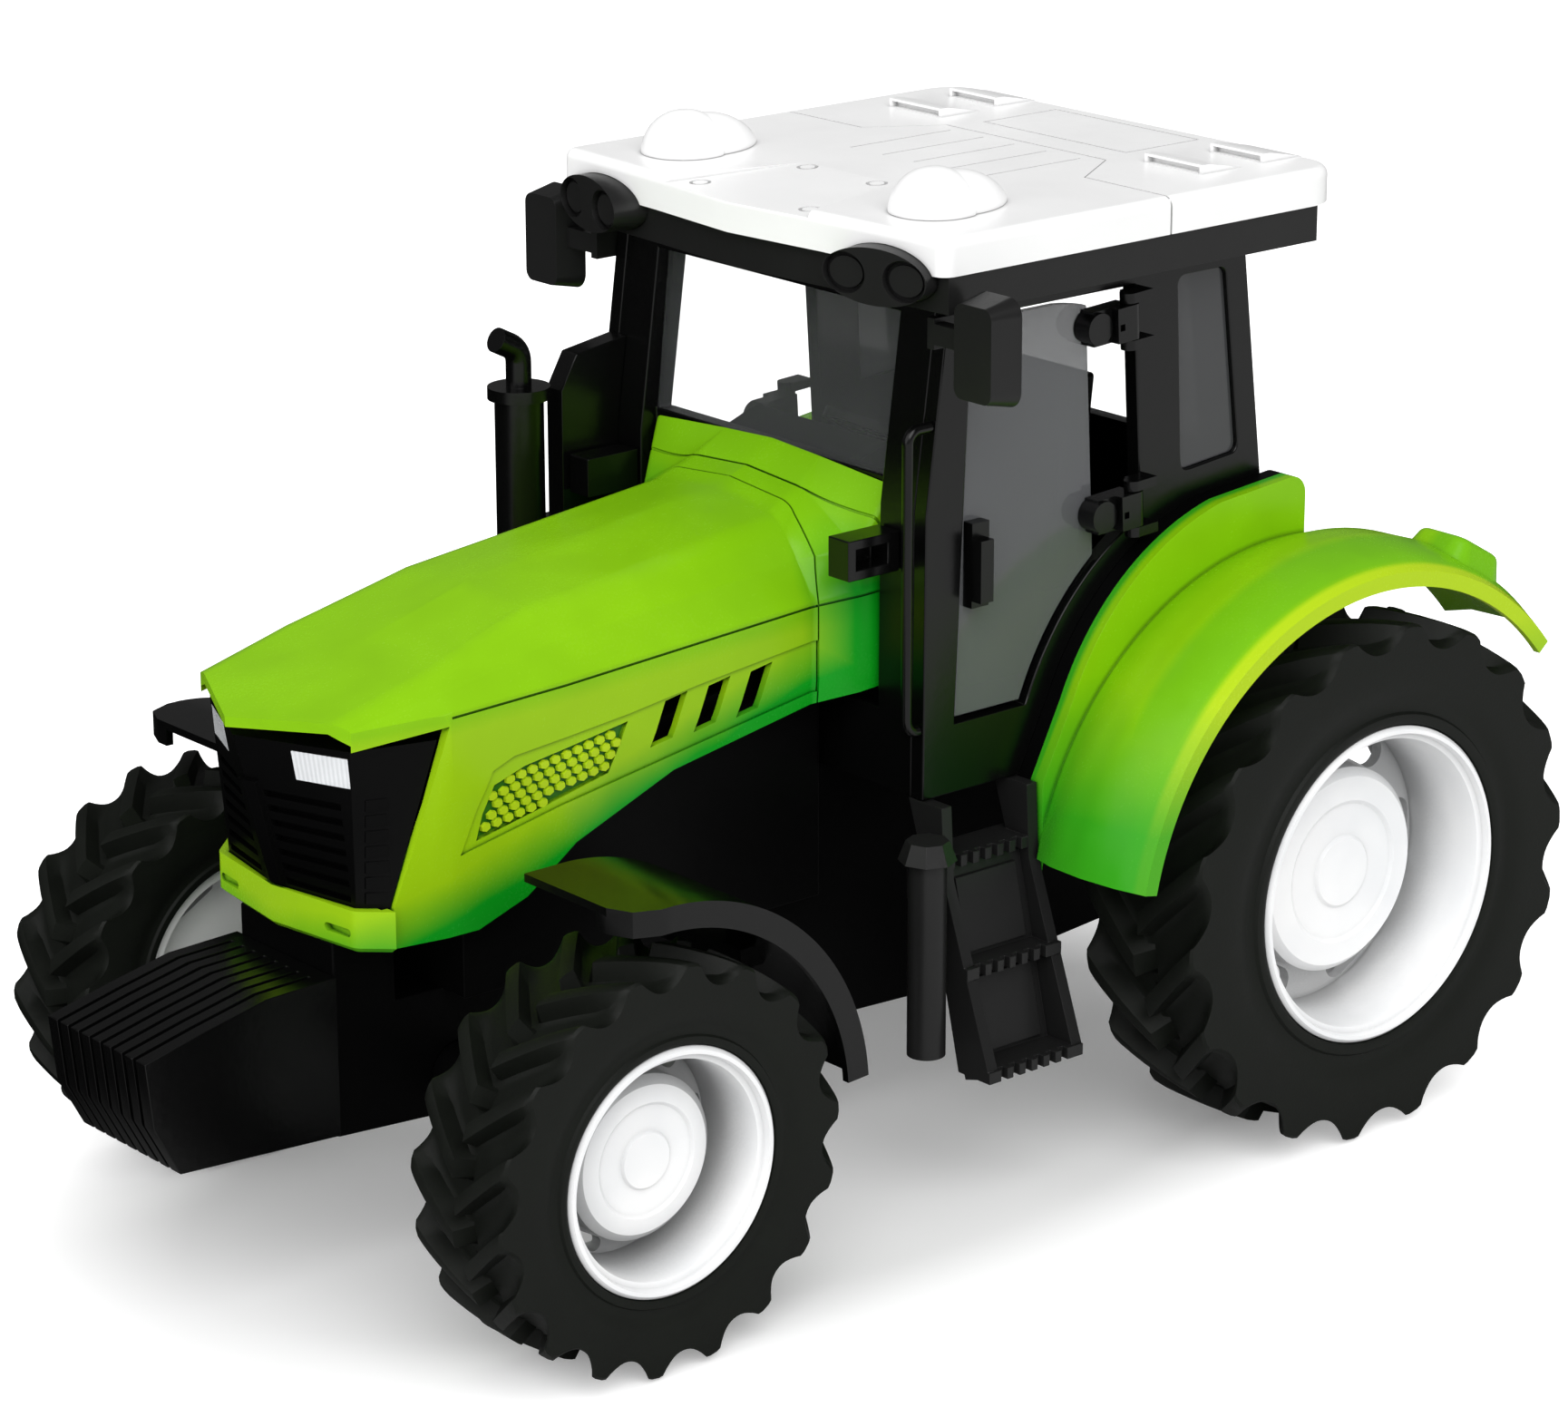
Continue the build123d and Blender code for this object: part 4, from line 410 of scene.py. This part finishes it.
def paint_stock():
    """All the tractor's finishes by name."""
    tint = bpy.context.scene.tractor_colours
    return {
        # crease and hollow give painted shade; green gives painted shade and painted highlight
        "green": moulded("green_plastic", tint.green, 0.26, green="hood", crease=1.0,
                         Specular_IOR_Level=0.2),
        "fender": moulded("fender_green_plastic", tint.green, 0.26, green="fender", crease=0.6,
                          Specular_IOR_Level=0.2),
        "stud": moulded("honeycomb_green_plastic", tint.pale_green_and_highlight, 0.3, Specular_IOR_Level=0.2),
        "white": moulded("white_plastic", tint.white, 0.32, crease=0.5, Specular_IOR_Level=0.3),
        "rim": moulded("rim_white_plastic", tint.rim, 0.32, crease=0.5, hollow=0.8,
                       Specular_IOR_Level=0.25),
        "pod": moulded("lamp_pod_plastic", tint.pod, 0.34, crease=0.9, Specular_IOR_Level=0.3),
        "black": moulded("gloss_black_plastic", tint.black, 0.24, Specular_IOR_Level=0.38),
        "matt": moulded("matt_black_plastic", tint.chassis, 0.45, grain=0.012 * MM,
                        Specular_IOR_Level=0.09),
        "grille": moulded("grille_black_plastic", tint.chassis, 0.38, Specular_IOR_Level=0.12),
        "rubber": rubber("tyre_rubber", tint.rubber),
        "smoke": glass("smoke_glass", tint.smoke, 0.74),
        "tint": glass("dark_smoke_glass", tint.quarter, 0.94),
        "clear": glass("clear_glass", tint.screen, 0.08),
        "lens": lens("lamp_plastic", tint.lens),
    }


STOCK = {}


def stock(name):
    """A finish by name. All of them are made at the first call."""
    if not STOCK:
        STOCK.update(paint_stock())
    return STOCK[name]


# ---- pieces -------------------------------------------------------------------------------
def add_piece(name, mesh, body, material, replaces=()):
    """Links a finished mesh as a piece that rides on a body."""
    piece = bpy.data.objects.new(name, mesh)
    bpy.context.scene.collection.objects.link(piece)
    mesh.materials.clear()
    mesh.materials.append(material)
    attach(piece, body)
    if replaces:
        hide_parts(*replaces)
    return piece


def smooth_by_angle(mesh, degrees):
    """Smooth shading, with edges sharper than an angle kept hard."""
    work = bmesh.new()
    work.from_mesh(mesh)
    for face in work.faces:
        face.smooth = True
    for edge in work.edges:
        edge.smooth = len(edge.link_faces) == 2 and edge.calc_face_angle(0.0) < math.radians(degrees)
    work.to_mesh(mesh)
    work.free()


MERGE = 0.002 * MM                  # corners nearer than this are one
SMOOTH_UNDER = 28                   # facets that meet at less are shaded as one surface, in degrees
ROUND_OVER = 30                     # edges sharper than this are rounded, in degrees
EDGE_STEPS = 3


def soften(node, material, edge):
    """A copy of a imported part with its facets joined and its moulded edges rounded."""
    mesh = frame["nodes"][node].data.copy()
    mesh.name = node + "_skin"
    work = bmesh.new()
    work.from_mesh(mesh)
    bmesh.ops.remove_doubles(work, verts=work.verts, dist=MERGE)
    work.to_mesh(mesh)
    work.free()
    if "custom_normal" in mesh.attributes:
        mesh.attributes.remove(mesh.attributes["custom_normal"])
    smooth_by_angle(mesh, SMOOTH_UNDER)
    piece = add_piece(node + "_moulded", mesh, BODY_OF[node], material, [node])
    rounding = piece.modifiers.new("Rounded edges", "BEVEL")
    rounding.width = edge
    rounding.segments = EDGE_STEPS
    rounding.limit_method = "ANGLE"
    rounding.angle_limit = math.radians(ROUND_OVER)
    rounding.miter_outer = "MITER_SHARP"
    weighted = piece.modifiers.new("Even shading", "WEIGHTED_NORMAL")
    weighted.keep_sharp = True


# node, finish, slot, share of the edge rounding
PANELS = [
    ("hood", "green", "green_plastic", 1.0),
    ("cowl", "green", "green_plastic", 1.0),
    ("nose_lip", "green", "green_plastic", 1.0),
    ("rear_fender_left", "fender", "green_plastic", 1.0),
    ("rear_fender_right", "fender", "green_plastic", 1.0),
    ("roof", "white", "white_plastic", 1.0),
    ("beacons", "white", "lamp_plastic", 0.5),
]
CAB = [
    ("cab_side_left", "black", "gloss_black_plastic", 0.7),
    ("cab_side_right", "black", "gloss_black_plastic", 0.7),
    ("cab_front", "black", "gloss_black_plastic", 0.7),
    ("cab_rear", "black", "gloss_black_plastic", 0.7),
    ("cab_floor", "matt", "matt_black_plastic", 0.7),
    ("roof_frame", "pod", "gloss_black_plastic", 0.7),
    ("light_pods", "pod", "gloss_black_plastic", 0.5),
    ("mirrors", "pod", "gloss_black_plastic", 1.0),
    ("mirror_brackets", "black", "gloss_black_plastic", 0.5),
    ("grab_rail", "black", "gloss_black_plastic", 0.5),
    ("door_hinges", "black", "gloss_black_plastic", 0.4),
    ("door_fittings_left", "black", "gloss_black_plastic", 0.5),
    ("door_fittings_right", "black", "gloss_black_plastic", 0.5),
    ("exhaust", "black", "gloss_black_plastic", 0.7),
    ("air_duct", "black", "gloss_black_plastic", 0.7),
    ("grille", "grille", "gloss_black_plastic", 0.4),
    ("seat", "matt", "matt_black_plastic", 1.5),
    ("dashboard", "matt", "matt_black_plastic", 1.0),
    ("steering_wheel", "matt", "matt_black_plastic", 0.7),
]
GEAR = [
    ("chassis", "matt", "matt_black_plastic", 1.0),
    ("engine_block", "matt", "matt_black_plastic", 1.0),
    ("front_axle", "matt", "matt_black_plastic", 0.7),
    ("rear_axle", "matt", "matt_black_plastic", 0.7),
    ("front_weights", "black", "matt_black_plastic", 0.4),
    ("tow_hitch", "matt", "matt_black_plastic", 0.7),
    ("fender_seals", "matt", "matt_black_plastic", 0.4),
    ("side_tanks", "pod", "gloss_black_plastic", 0.7),
    ("steps_left", "pod", "gloss_black_plastic", 0.7),
    ("steps_right", "pod", "gloss_black_plastic", 0.7),
    ("front_fender_left", "black", "fender_plastic", 0.7),
    ("front_fender_right", "black", "fender_plastic", 0.7),
]
GLAZING = [
    ("door_glass_left", "smoke", "smoke_glass", 0.4),
    ("door_glass_right", "clear", "smoke_glass", 0.4),
    ("quarter_windows", "tint", "smoke_glass", 0.4),
    ("windshield", "clear", "clear_glass", 0.4),
    ("rear_window", "clear", "clear_glass", 0.4),
    ("headlights", "lens", "lamp_plastic", 0.4),
]
WHEELS = [
    ("rear_rim_left", "rim", "white_plastic", 0.5),
    ("rear_rim_right", "rim", "white_plastic", 0.5),
    ("front_rim_left", "rim", "white_plastic", 0.5),
    ("front_rim_right", "rim", "white_plastic", 0.5),
]


# ---- honeycomb in the hood's side vents ---------------------------------------------------
STUD_PITCH = (2.62, 1.92)           # along a row, and between rows, in millimetres
STUD_SLOPE = -0.15                  # rows climb towards the rear
STUD_R = 1.23                       # radius at the foot
STUD_TAPER = 0.86                   # share of that radius at the top
STUD_H = 0.8
STUD_SINK = 0.1                     # depth of the foot under the pocket's floor
STUD_SQUASH = 1.1 * STUD_PITCH[1] / STUD_PITCH[0]    # size across the rows over size along them
STUD_INSET = 0.56 * STUD_R          # least distance of a stud's middle from the pocket's edge
STUD_ROWS = range(-4, 14)
STUD_COLUMNS = range(24)
BESIDE = 100                        # distance from the middle plane to beside the hood


def inset_from(outline, x, z):
    """Distance of a point inside a convex outline from its nearest edge."""
    return min(((bx - ax) * (z - az) - (bz - az) * (x - ax)) / math.hypot(bx - ax, bz - az)
               for (ax, az), (bx, bz) in zip(outline, outline[1:] + outline[:1]))


def stud_places():
    """Middles of the studs: sloping rows, every second one shifted, kept where they fit the pocket."""
    rear, front = min(x for x, z in VENT), max(x for x, z in VENT)
    foot = min(z for x, z in VENT)
    for row in STUD_ROWS:
        for column in STUD_COLUMNS:
            x = rear + (column + (row % 2) / 2) * STUD_PITCH[0]
            z = foot + row * STUD_PITCH[1] + (x - front) * STUD_SLOPE
            if inset_from(VENT, x, z) > STUD_INSET:
                yield x, z


def make_honeycomb(side, name):
    """Raised six-sided studs on the floor of a vent pocket."""
    work = bmesh.new()
    work.from_mesh(frame["nodes"]["hood"].data)
    skin = BVHTree.FromBMesh(work)
    work.clear()
    squash = Matrix.Diagonal((1.0, STUD_SQUASH, 1.0, 1.0))
    for x, z in stud_places():
        beside = Vector(((x + AXLE_X) * MM, side * BESIDE * MM, z * MM))
        foot, normal, index, distance = skin.ray_cast(beside, Vector((0.0, -side, 0.0)))
        if normal.y * side < 0:
            normal = -normal
        along = Vector((1.0, 0.0, STUD_SLOPE)).cross(normal).normalized()
        turn = Matrix((normal.cross(along), along, normal)).transposed().to_4x4()
        place = Matrix.Translation(foot + normal * (STUD_H / 2 - STUD_SINK) * MM) @ turn @ squash
        bmesh.ops.create_cone(work, cap_ends=True, segments=6, radius1=STUD_R * MM,
                              radius2=STUD_R * STUD_TAPER * MM, depth=STUD_H * MM, matrix=place)
    bmesh.ops.recalc_face_normals(work, faces=work.faces)
    mesh = bpy.data.meshes.new(name)
    work.to_mesh(mesh)
    work.free()
    add_piece(name, mesh, BODY, stock("stud"))


# ---- tyres --------------------------------------------------------------------------------
# one half of the section, bead to tread floor: share of the half width, inset from the outer
# face, share of the height from the rim to the tread floor
SIDEWALL = [
    (0.93, 0.00), (0.975, 0.02), (0.99, 0.07), (0.985, 0.14), (0.945, 0.17), (0.935, 0.24),
    (0.945, 0.33), (0.975, 0.42), (0.992, 0.54), (1.0, 0.68), (1.0, 0.84),
]
# rows across the tread, shoulder to middle: share of the half width, drop of the crown in
# millimetres, how far the notch between two lugs is rounded
TREAD = [
    (1.0, 0.9, 1.0), (0.965, 0.35, 1.0), (0.9, 0.2, 0.8), (0.8, 0.15, 0.3), (0.66, 0.1, 0.0),
    (0.45, 0.05, 0.0), (0.25, 0.0, 0.0), (0.12, 0.0, 0.0), (0.045, 0.0, 0.0),
]
FLOOR_DROP = 0.4                    # share of that drop in the floor; the lugs take the rest
# height of a lug at each step away from its middle: straight bar, and rounded shoulder
BAR = [1.0, 1.0, 0.97, 0.10, 0.02, 0.0, 0.0, 0.0, 0.0]
SCALLOP = [1.0, 1.0, 0.94, 0.62, 0.38, 0.20, 0.08, 0.02, 0.0]
LUGS = 18
LUG_STEPS = 16
# end: rim radius, tyre radius, width, lug height, in millimetres
TYRES = {"rear": (33.2, 54.5, 31.0, 4.9), "front": (24.2, 40.1, 27.0, 4.2)}
LUG_SWEEP = 0.30                    # turn of a lug between the middle and the shoulder, in radians
TYRE_SMOOTH_UNDER = 34              # tyre facets that meet at less are shaded as one surface, in degrees


def tyre_rows(end):
    """The section as rows: across, radius, share of the lug's height, rounding."""
    rim, outer, width, lug = TYRES[end]
    floor = outer - lug
    side = [(share * width / 2, rim + rise * (floor - rim), 0.0, 0.0) for share, rise in SIDEWALL]
    tread = [(share * width / 2, floor - drop * FLOOR_DROP, lug - drop * (1 - FLOOR_DROP), soft)
             for share, drop, soft in TREAD]
    near = side + tread
    return near + [(-across, radius, height, soft) for across, radius, height, soft in reversed(near)]


def tyre_mesh(end, side):
    """A lugged tyre about its own axle: the section spun, then lifted into lugs and swept into chevrons."""
    rows = tyre_rows(end)
    work = bmesh.new()
    row_layer = work.verts.layers.int.new("row")
    section = []
    for i, (across, radius, height, soft) in enumerate(rows):
        vert = bmesh.ops.create_vert(work, co=(radius * MM, across * side * MM, 0.0))["vert"][0]
        vert[row_layer] = i
        section.append(vert)
    edges = [work.edges.new(pair) for pair in zip(section, section[1:] + section[:1])]
    steps = LUGS * LUG_STEPS
    bmesh.ops.spin(work, geom=section + edges, cent=(0, 0, 0), axis=(0, 1, 0), dvec=(0, 0, 0),
                   angle=2 * math.pi, steps=steps, use_merge=True, use_duplicate=False)
    half = TYRES[end][2] / 2
    for vert in work.verts:
        across, radius, height, soft = rows[vert[row_layer]]
        turn = math.atan2(vert.co.z, vert.co.x)
        # the lugs of one half stand between those of the other
        step = round(turn / (2 * math.pi) * steps) + (LUG_STEPS // 2 if across < 0 else 0)
        away = min(step % LUG_STEPS, -step % LUG_STEPS)
        share = BAR[away] * (1 - soft) + SCALLOP[away] * soft
        reach = (radius + height * share) * MM
        turn += LUG_SWEEP * (abs(across) / half if height else 1.0)
        vert.co = Vector((math.cos(turn) * reach, vert.co.y, math.sin(turn) * reach))
    bmesh.ops.remove_doubles(work, verts=work.verts, dist=MERGE)
    bmesh.ops.recalc_face_normals(work, faces=work.faces)
    mesh = bpy.data.meshes.new(f"{end}_tyre_lugged")
    work.to_mesh(mesh)
    work.free()
    smooth_by_angle(mesh, TYRE_SMOOTH_UNDER)
    return mesh


def make_tyre(node):
    """The lugged tyre that stands in for a plain one, round the same axle."""
    end, side = node.split("_tyre_")
    mesh = tyre_mesh(end, 1 if side == "left" else -1)
    mesh.transform(Matrix.Translation([(low + high) / 2 for low, high in zip(*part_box(node))]))
    add_piece(node + "_lugged", mesh, BODY_OF[node], stock("rubber"), [node])


# ---- the steps in order -------------------------------------------------------------------
def soften_all(rows):
    """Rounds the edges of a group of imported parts."""
    edge = bpy.context.scene.tractor_sizes.edge
    for node, finish, slot, share in rows:
        soften(node, stock(finish), edge * share)


class TRACTOR_OT_panels(bpy.types.Operator):
    """Green and white body panels, and the honeycomb in the hood's vents"""
    bl_idname = "tractor.panels"
    bl_label = "Body panels"

    def execute(self, context):
        soften_all(PANELS)
        make_honeycomb(1, "vent_honeycomb_left")
        make_honeycomb(-1, "vent_honeycomb_right")
        return {"FINISHED"}


class TRACTOR_OT_cab(bpy.types.Operator):
    """Cab frame, fittings and inside"""
    bl_idname = "tractor.cab"
    bl_label = "Cab"

    def execute(self, context):
        soften_all(CAB)
        return {"FINISHED"}


class TRACTOR_OT_glazing(bpy.types.Operator):
    """Windows and headlights"""
    bl_idname = "tractor.glazing"
    bl_label = "Windows and headlights"

    def execute(self, context):
        soften_all(GLAZING)
        return {"FINISHED"}


class TRACTOR_OT_gear(bpy.types.Operator):
    """Chassis, axles, weights, tanks, steps and front fenders"""
    bl_idname = "tractor.gear"
    bl_label = "Running gear"

    def execute(self, context):
        soften_all(GEAR)
        return {"FINISHED"}


class TRACTOR_OT_wheels(bpy.types.Operator):
    """Rims and tyres"""
    bl_idname = "tractor.wheels"
    bl_label = "Wheels"

    def execute(self, context):
        soften_all(WHEELS)
        for node in ("rear_tyre_left", "rear_tyre_right", "front_tyre_left", "front_tyre_right"):
            make_tyre(node)
        return {"FINISHED"}


class TRACTOR_OT_stage(bpy.types.Operator):
    """Floor, lamps, surroundings and camera"""
    bl_idname = "tractor.stage"
    bl_label = "Studio"

    def execute(self, context):
        scene = context.scene
        studio = scene.tractor_studio
        scene.view_settings.view_transform = "Standard"
        make_floor(scene.tractor_colours.floor, studio.lift)
        make_world(studio)
        for name, (spread, place) in LAMPS.items():
            make_lamp(name + "_lamp", getattr(studio, name), spread, Vector(place))
        make_camera(scene)
        return {"FINISHED"}


# ---- studio -------------------------------------------------------------------------------
# setting of a lamp's strength: its spread in degrees, and where it stands
LAMPS = {"key": (50.0, (0.45, 1.0, 0.95)), "front": (60.0, (1.0, 0.1, 0.55))}
FLOOR_HALF = 6.0                    # half of the floor's side, in metres
FLOOR_CLOUD = 0.4                   # size of the faint clouds on it
CARD_EDGE = (175 * MM, -75 * MM)    # y at which the dark card starts, and is full
CARD = (0.01, 0.01, 0.01, 1.0)
# painted shadow: a patch round the tractor where the floor's own glow is weaker
SHADOW_SQUASH = 0.55                # width of the unlifted patch under the tractor, over its length
SHADOW_NEAR = 70 * MM               # half its width, where the floor has the least light of its own
SHADOW_FAR = 115 * MM               # and past this the most
FAR_LIFT = 0.6
UNSEEN_FLOOR = 0.86                 # how pale the floor is in reflections and as a source of light
NO_LIGHT = (0.0, 0.0, 0.0, 1.0)
WHITE_LIGHT = (1.0, 1.0, 1.0, 1.0)


def make_floor(pale, lift):
    """A pale floor that stays white where it is lit and keeps the tractor's shadow, deepened near it by
    painted shadow.
    """
    work = bmesh.new()
    bmesh.ops.create_grid(work, x_segments=8, y_segments=8, size=FLOOR_HALF)
    mesh = bpy.data.meshes.new("studio_floor")
    work.to_mesh(mesh)
    work.free()
    floor = bpy.data.objects.new("studio_floor", mesh)
    bpy.context.scene.collection.objects.link(floor)
    finish = Finish("studio_floor", Roughness=0.75, Specular_IOR_Level=0.0, Emission_Strength=1.0)
    seen = finish.ray("Is Camera Ray") + finish.ray("Is Transmission Ray")
    tone = finish.mix(finish.noise(FLOOR_CLOUD, 2.0), linear(pale), shaded(pale, 0.985))
    tone = finish.mix(seen, shaded(pale, UNSEEN_FLOOR), tone)
    # gloss shows a dark card on the floor, from under the tractor to its right
    card = finish.ray("Is Glossy Ray") * finish.fade(finish.axis("Y"), *CARD_EDGE)
    squashed = finish.node("ShaderNodeMapping", {"vector_type": "POINT"},
                           {"Vector": finish.position(), "Scale": (SHADOW_SQUASH, 1.0, 1.0)})
    away = finish.node("ShaderNodeVectorMath", {"operation": "LENGTH"}, {0: squashed}, output="Value")
    # the floor's glow is weakest near the tractor: painted shadow round it, on top of its rendered shadow
    glow_with_painted_shadow = seen * finish.ramp(away, [(SHADOW_NEAR, lift), (SHADOW_FAR, FAR_LIFT)])
    finish.set(Base_Color=finish.mix(card, tone, CARD),
               Emission_Color=finish.mix(glow_with_painted_shadow, NO_LIGHT, WHITE_LIGHT))
    mesh.materials.append(finish.material)


def make_world(studio):
    """White all round in view, a dimmer light on the tractor, and a darker room in its gloss."""
    world = bpy.data.worlds.new("studio_world")
    bpy.context.scene.world = world
    world.use_nodes = True
    sky = Sky(world.node_tree)
    seen = sky.ray("Is Camera Ray") + sky.ray("Is Transmission Ray")
    gloss = sky.ray("Is Glossy Ray")
    sky.set(Strength=studio.ambient + seen * (1.0 - studio.ambient) + gloss * (studio.gloss - studio.ambient))


def make_lamp(name, energy, spread, place):
    """A sun with a wide disc: soft shadows of even strength over the whole floor."""
    data = bpy.data.lights.new(name, "SUN")
    data.energy = energy
    data.angle = math.radians(spread)
    lamp = bpy.data.objects.new(name, data)
    lamp.location = place
    lamp.rotation_euler = (-place).to_track_quat("-Z", "Y").to_euler()
    bpy.context.scene.collection.objects.link(lamp)


CAMERA_PLACE = (0.60155, 0.7245, 0.3952)
CAMERA_TURN = (229.72, 17.92, 0.12)     # heading, look down and roll, in degrees
CAMERA_LENS = 113.7                     # focal length on a frame 36 mm wide


def make_camera(scene):
    """A long lens that looks down on the tractor's left side and front."""
    heading, down, roll = (math.radians(a) for a in CAMERA_TURN)
    ahead = Vector((math.cos(heading) * math.cos(down), math.sin(heading) * math.cos(down), -math.sin(down)))
    data = bpy.data.cameras.new("studio_camera")
    data.lens = CAMERA_LENS
    data.sensor_width = 36.0
    data.clip_start = 0.05
    camera = bpy.data.objects.new("studio_camera", data)
    turn = ahead.to_track_quat("-Z", "Y").to_matrix() @ Matrix.Rotation(-roll, 3, "Z")
    camera.matrix_world = Matrix.Translation(CAMERA_PLACE) @ turn.to_4x4()
    scene.collection.objects.link(camera)
    scene.camera = camera


# ---- add-on -------------------------------------------------------------------------------
OPERATORS = [TRACTOR_OT_panels, TRACTOR_OT_cab, TRACTOR_OT_glazing, TRACTOR_OT_gear, TRACTOR_OT_wheels,
             TRACTOR_OT_stage]
GROUPS = {
    "tractor_colours": TractorColours,
    "tractor_sizes": TractorSizes,
    "tractor_studio": TractorStudio,
}


class TRACTOR_PT_sidebar(bpy.types.Panel):
    """Lists the settings and the steps in order"""
    bl_idname = "TRACTOR_PT_sidebar"
    bl_label = "Toy tractor"
    bl_space_type = "VIEW_3D"
    bl_region_type = "UI"
    bl_category = "Toy tractor"

    def draw(self, context):
        for group in GROUPS:
            box = self.layout.box()
            for name in getattr(context.scene, group).bl_rna.properties.keys():
                if name not in ("rna_type", "name"):
                    box.prop(getattr(context.scene, group), name)
        for operator in OPERATORS:
            self.layout.operator(operator.bl_idname)


def register():
    for group in GROUPS.values():
        bpy.utils.register_class(group)
    for name, group in GROUPS.items():
        setattr(bpy.types.Scene, name, bpy.props.PointerProperty(type=group))
    for operator in OPERATORS:
        bpy.utils.register_class(operator)
    bpy.utils.register_class(TRACTOR_PT_sidebar)


def unregister():
    bpy.utils.unregister_class(TRACTOR_PT_sidebar)
    for operator in reversed(OPERATORS):
        bpy.utils.unregister_class(operator)
    for name, group in GROUPS.items():
        delattr(bpy.types.Scene, name)
        bpy.utils.unregister_class(group)


def main():
    register()
    for operator in OPERATORS:
        group, name = operator.bl_idname.split(".")
        getattr(getattr(bpy.ops, group), name)()


if __name__ == "__main__":
    main()
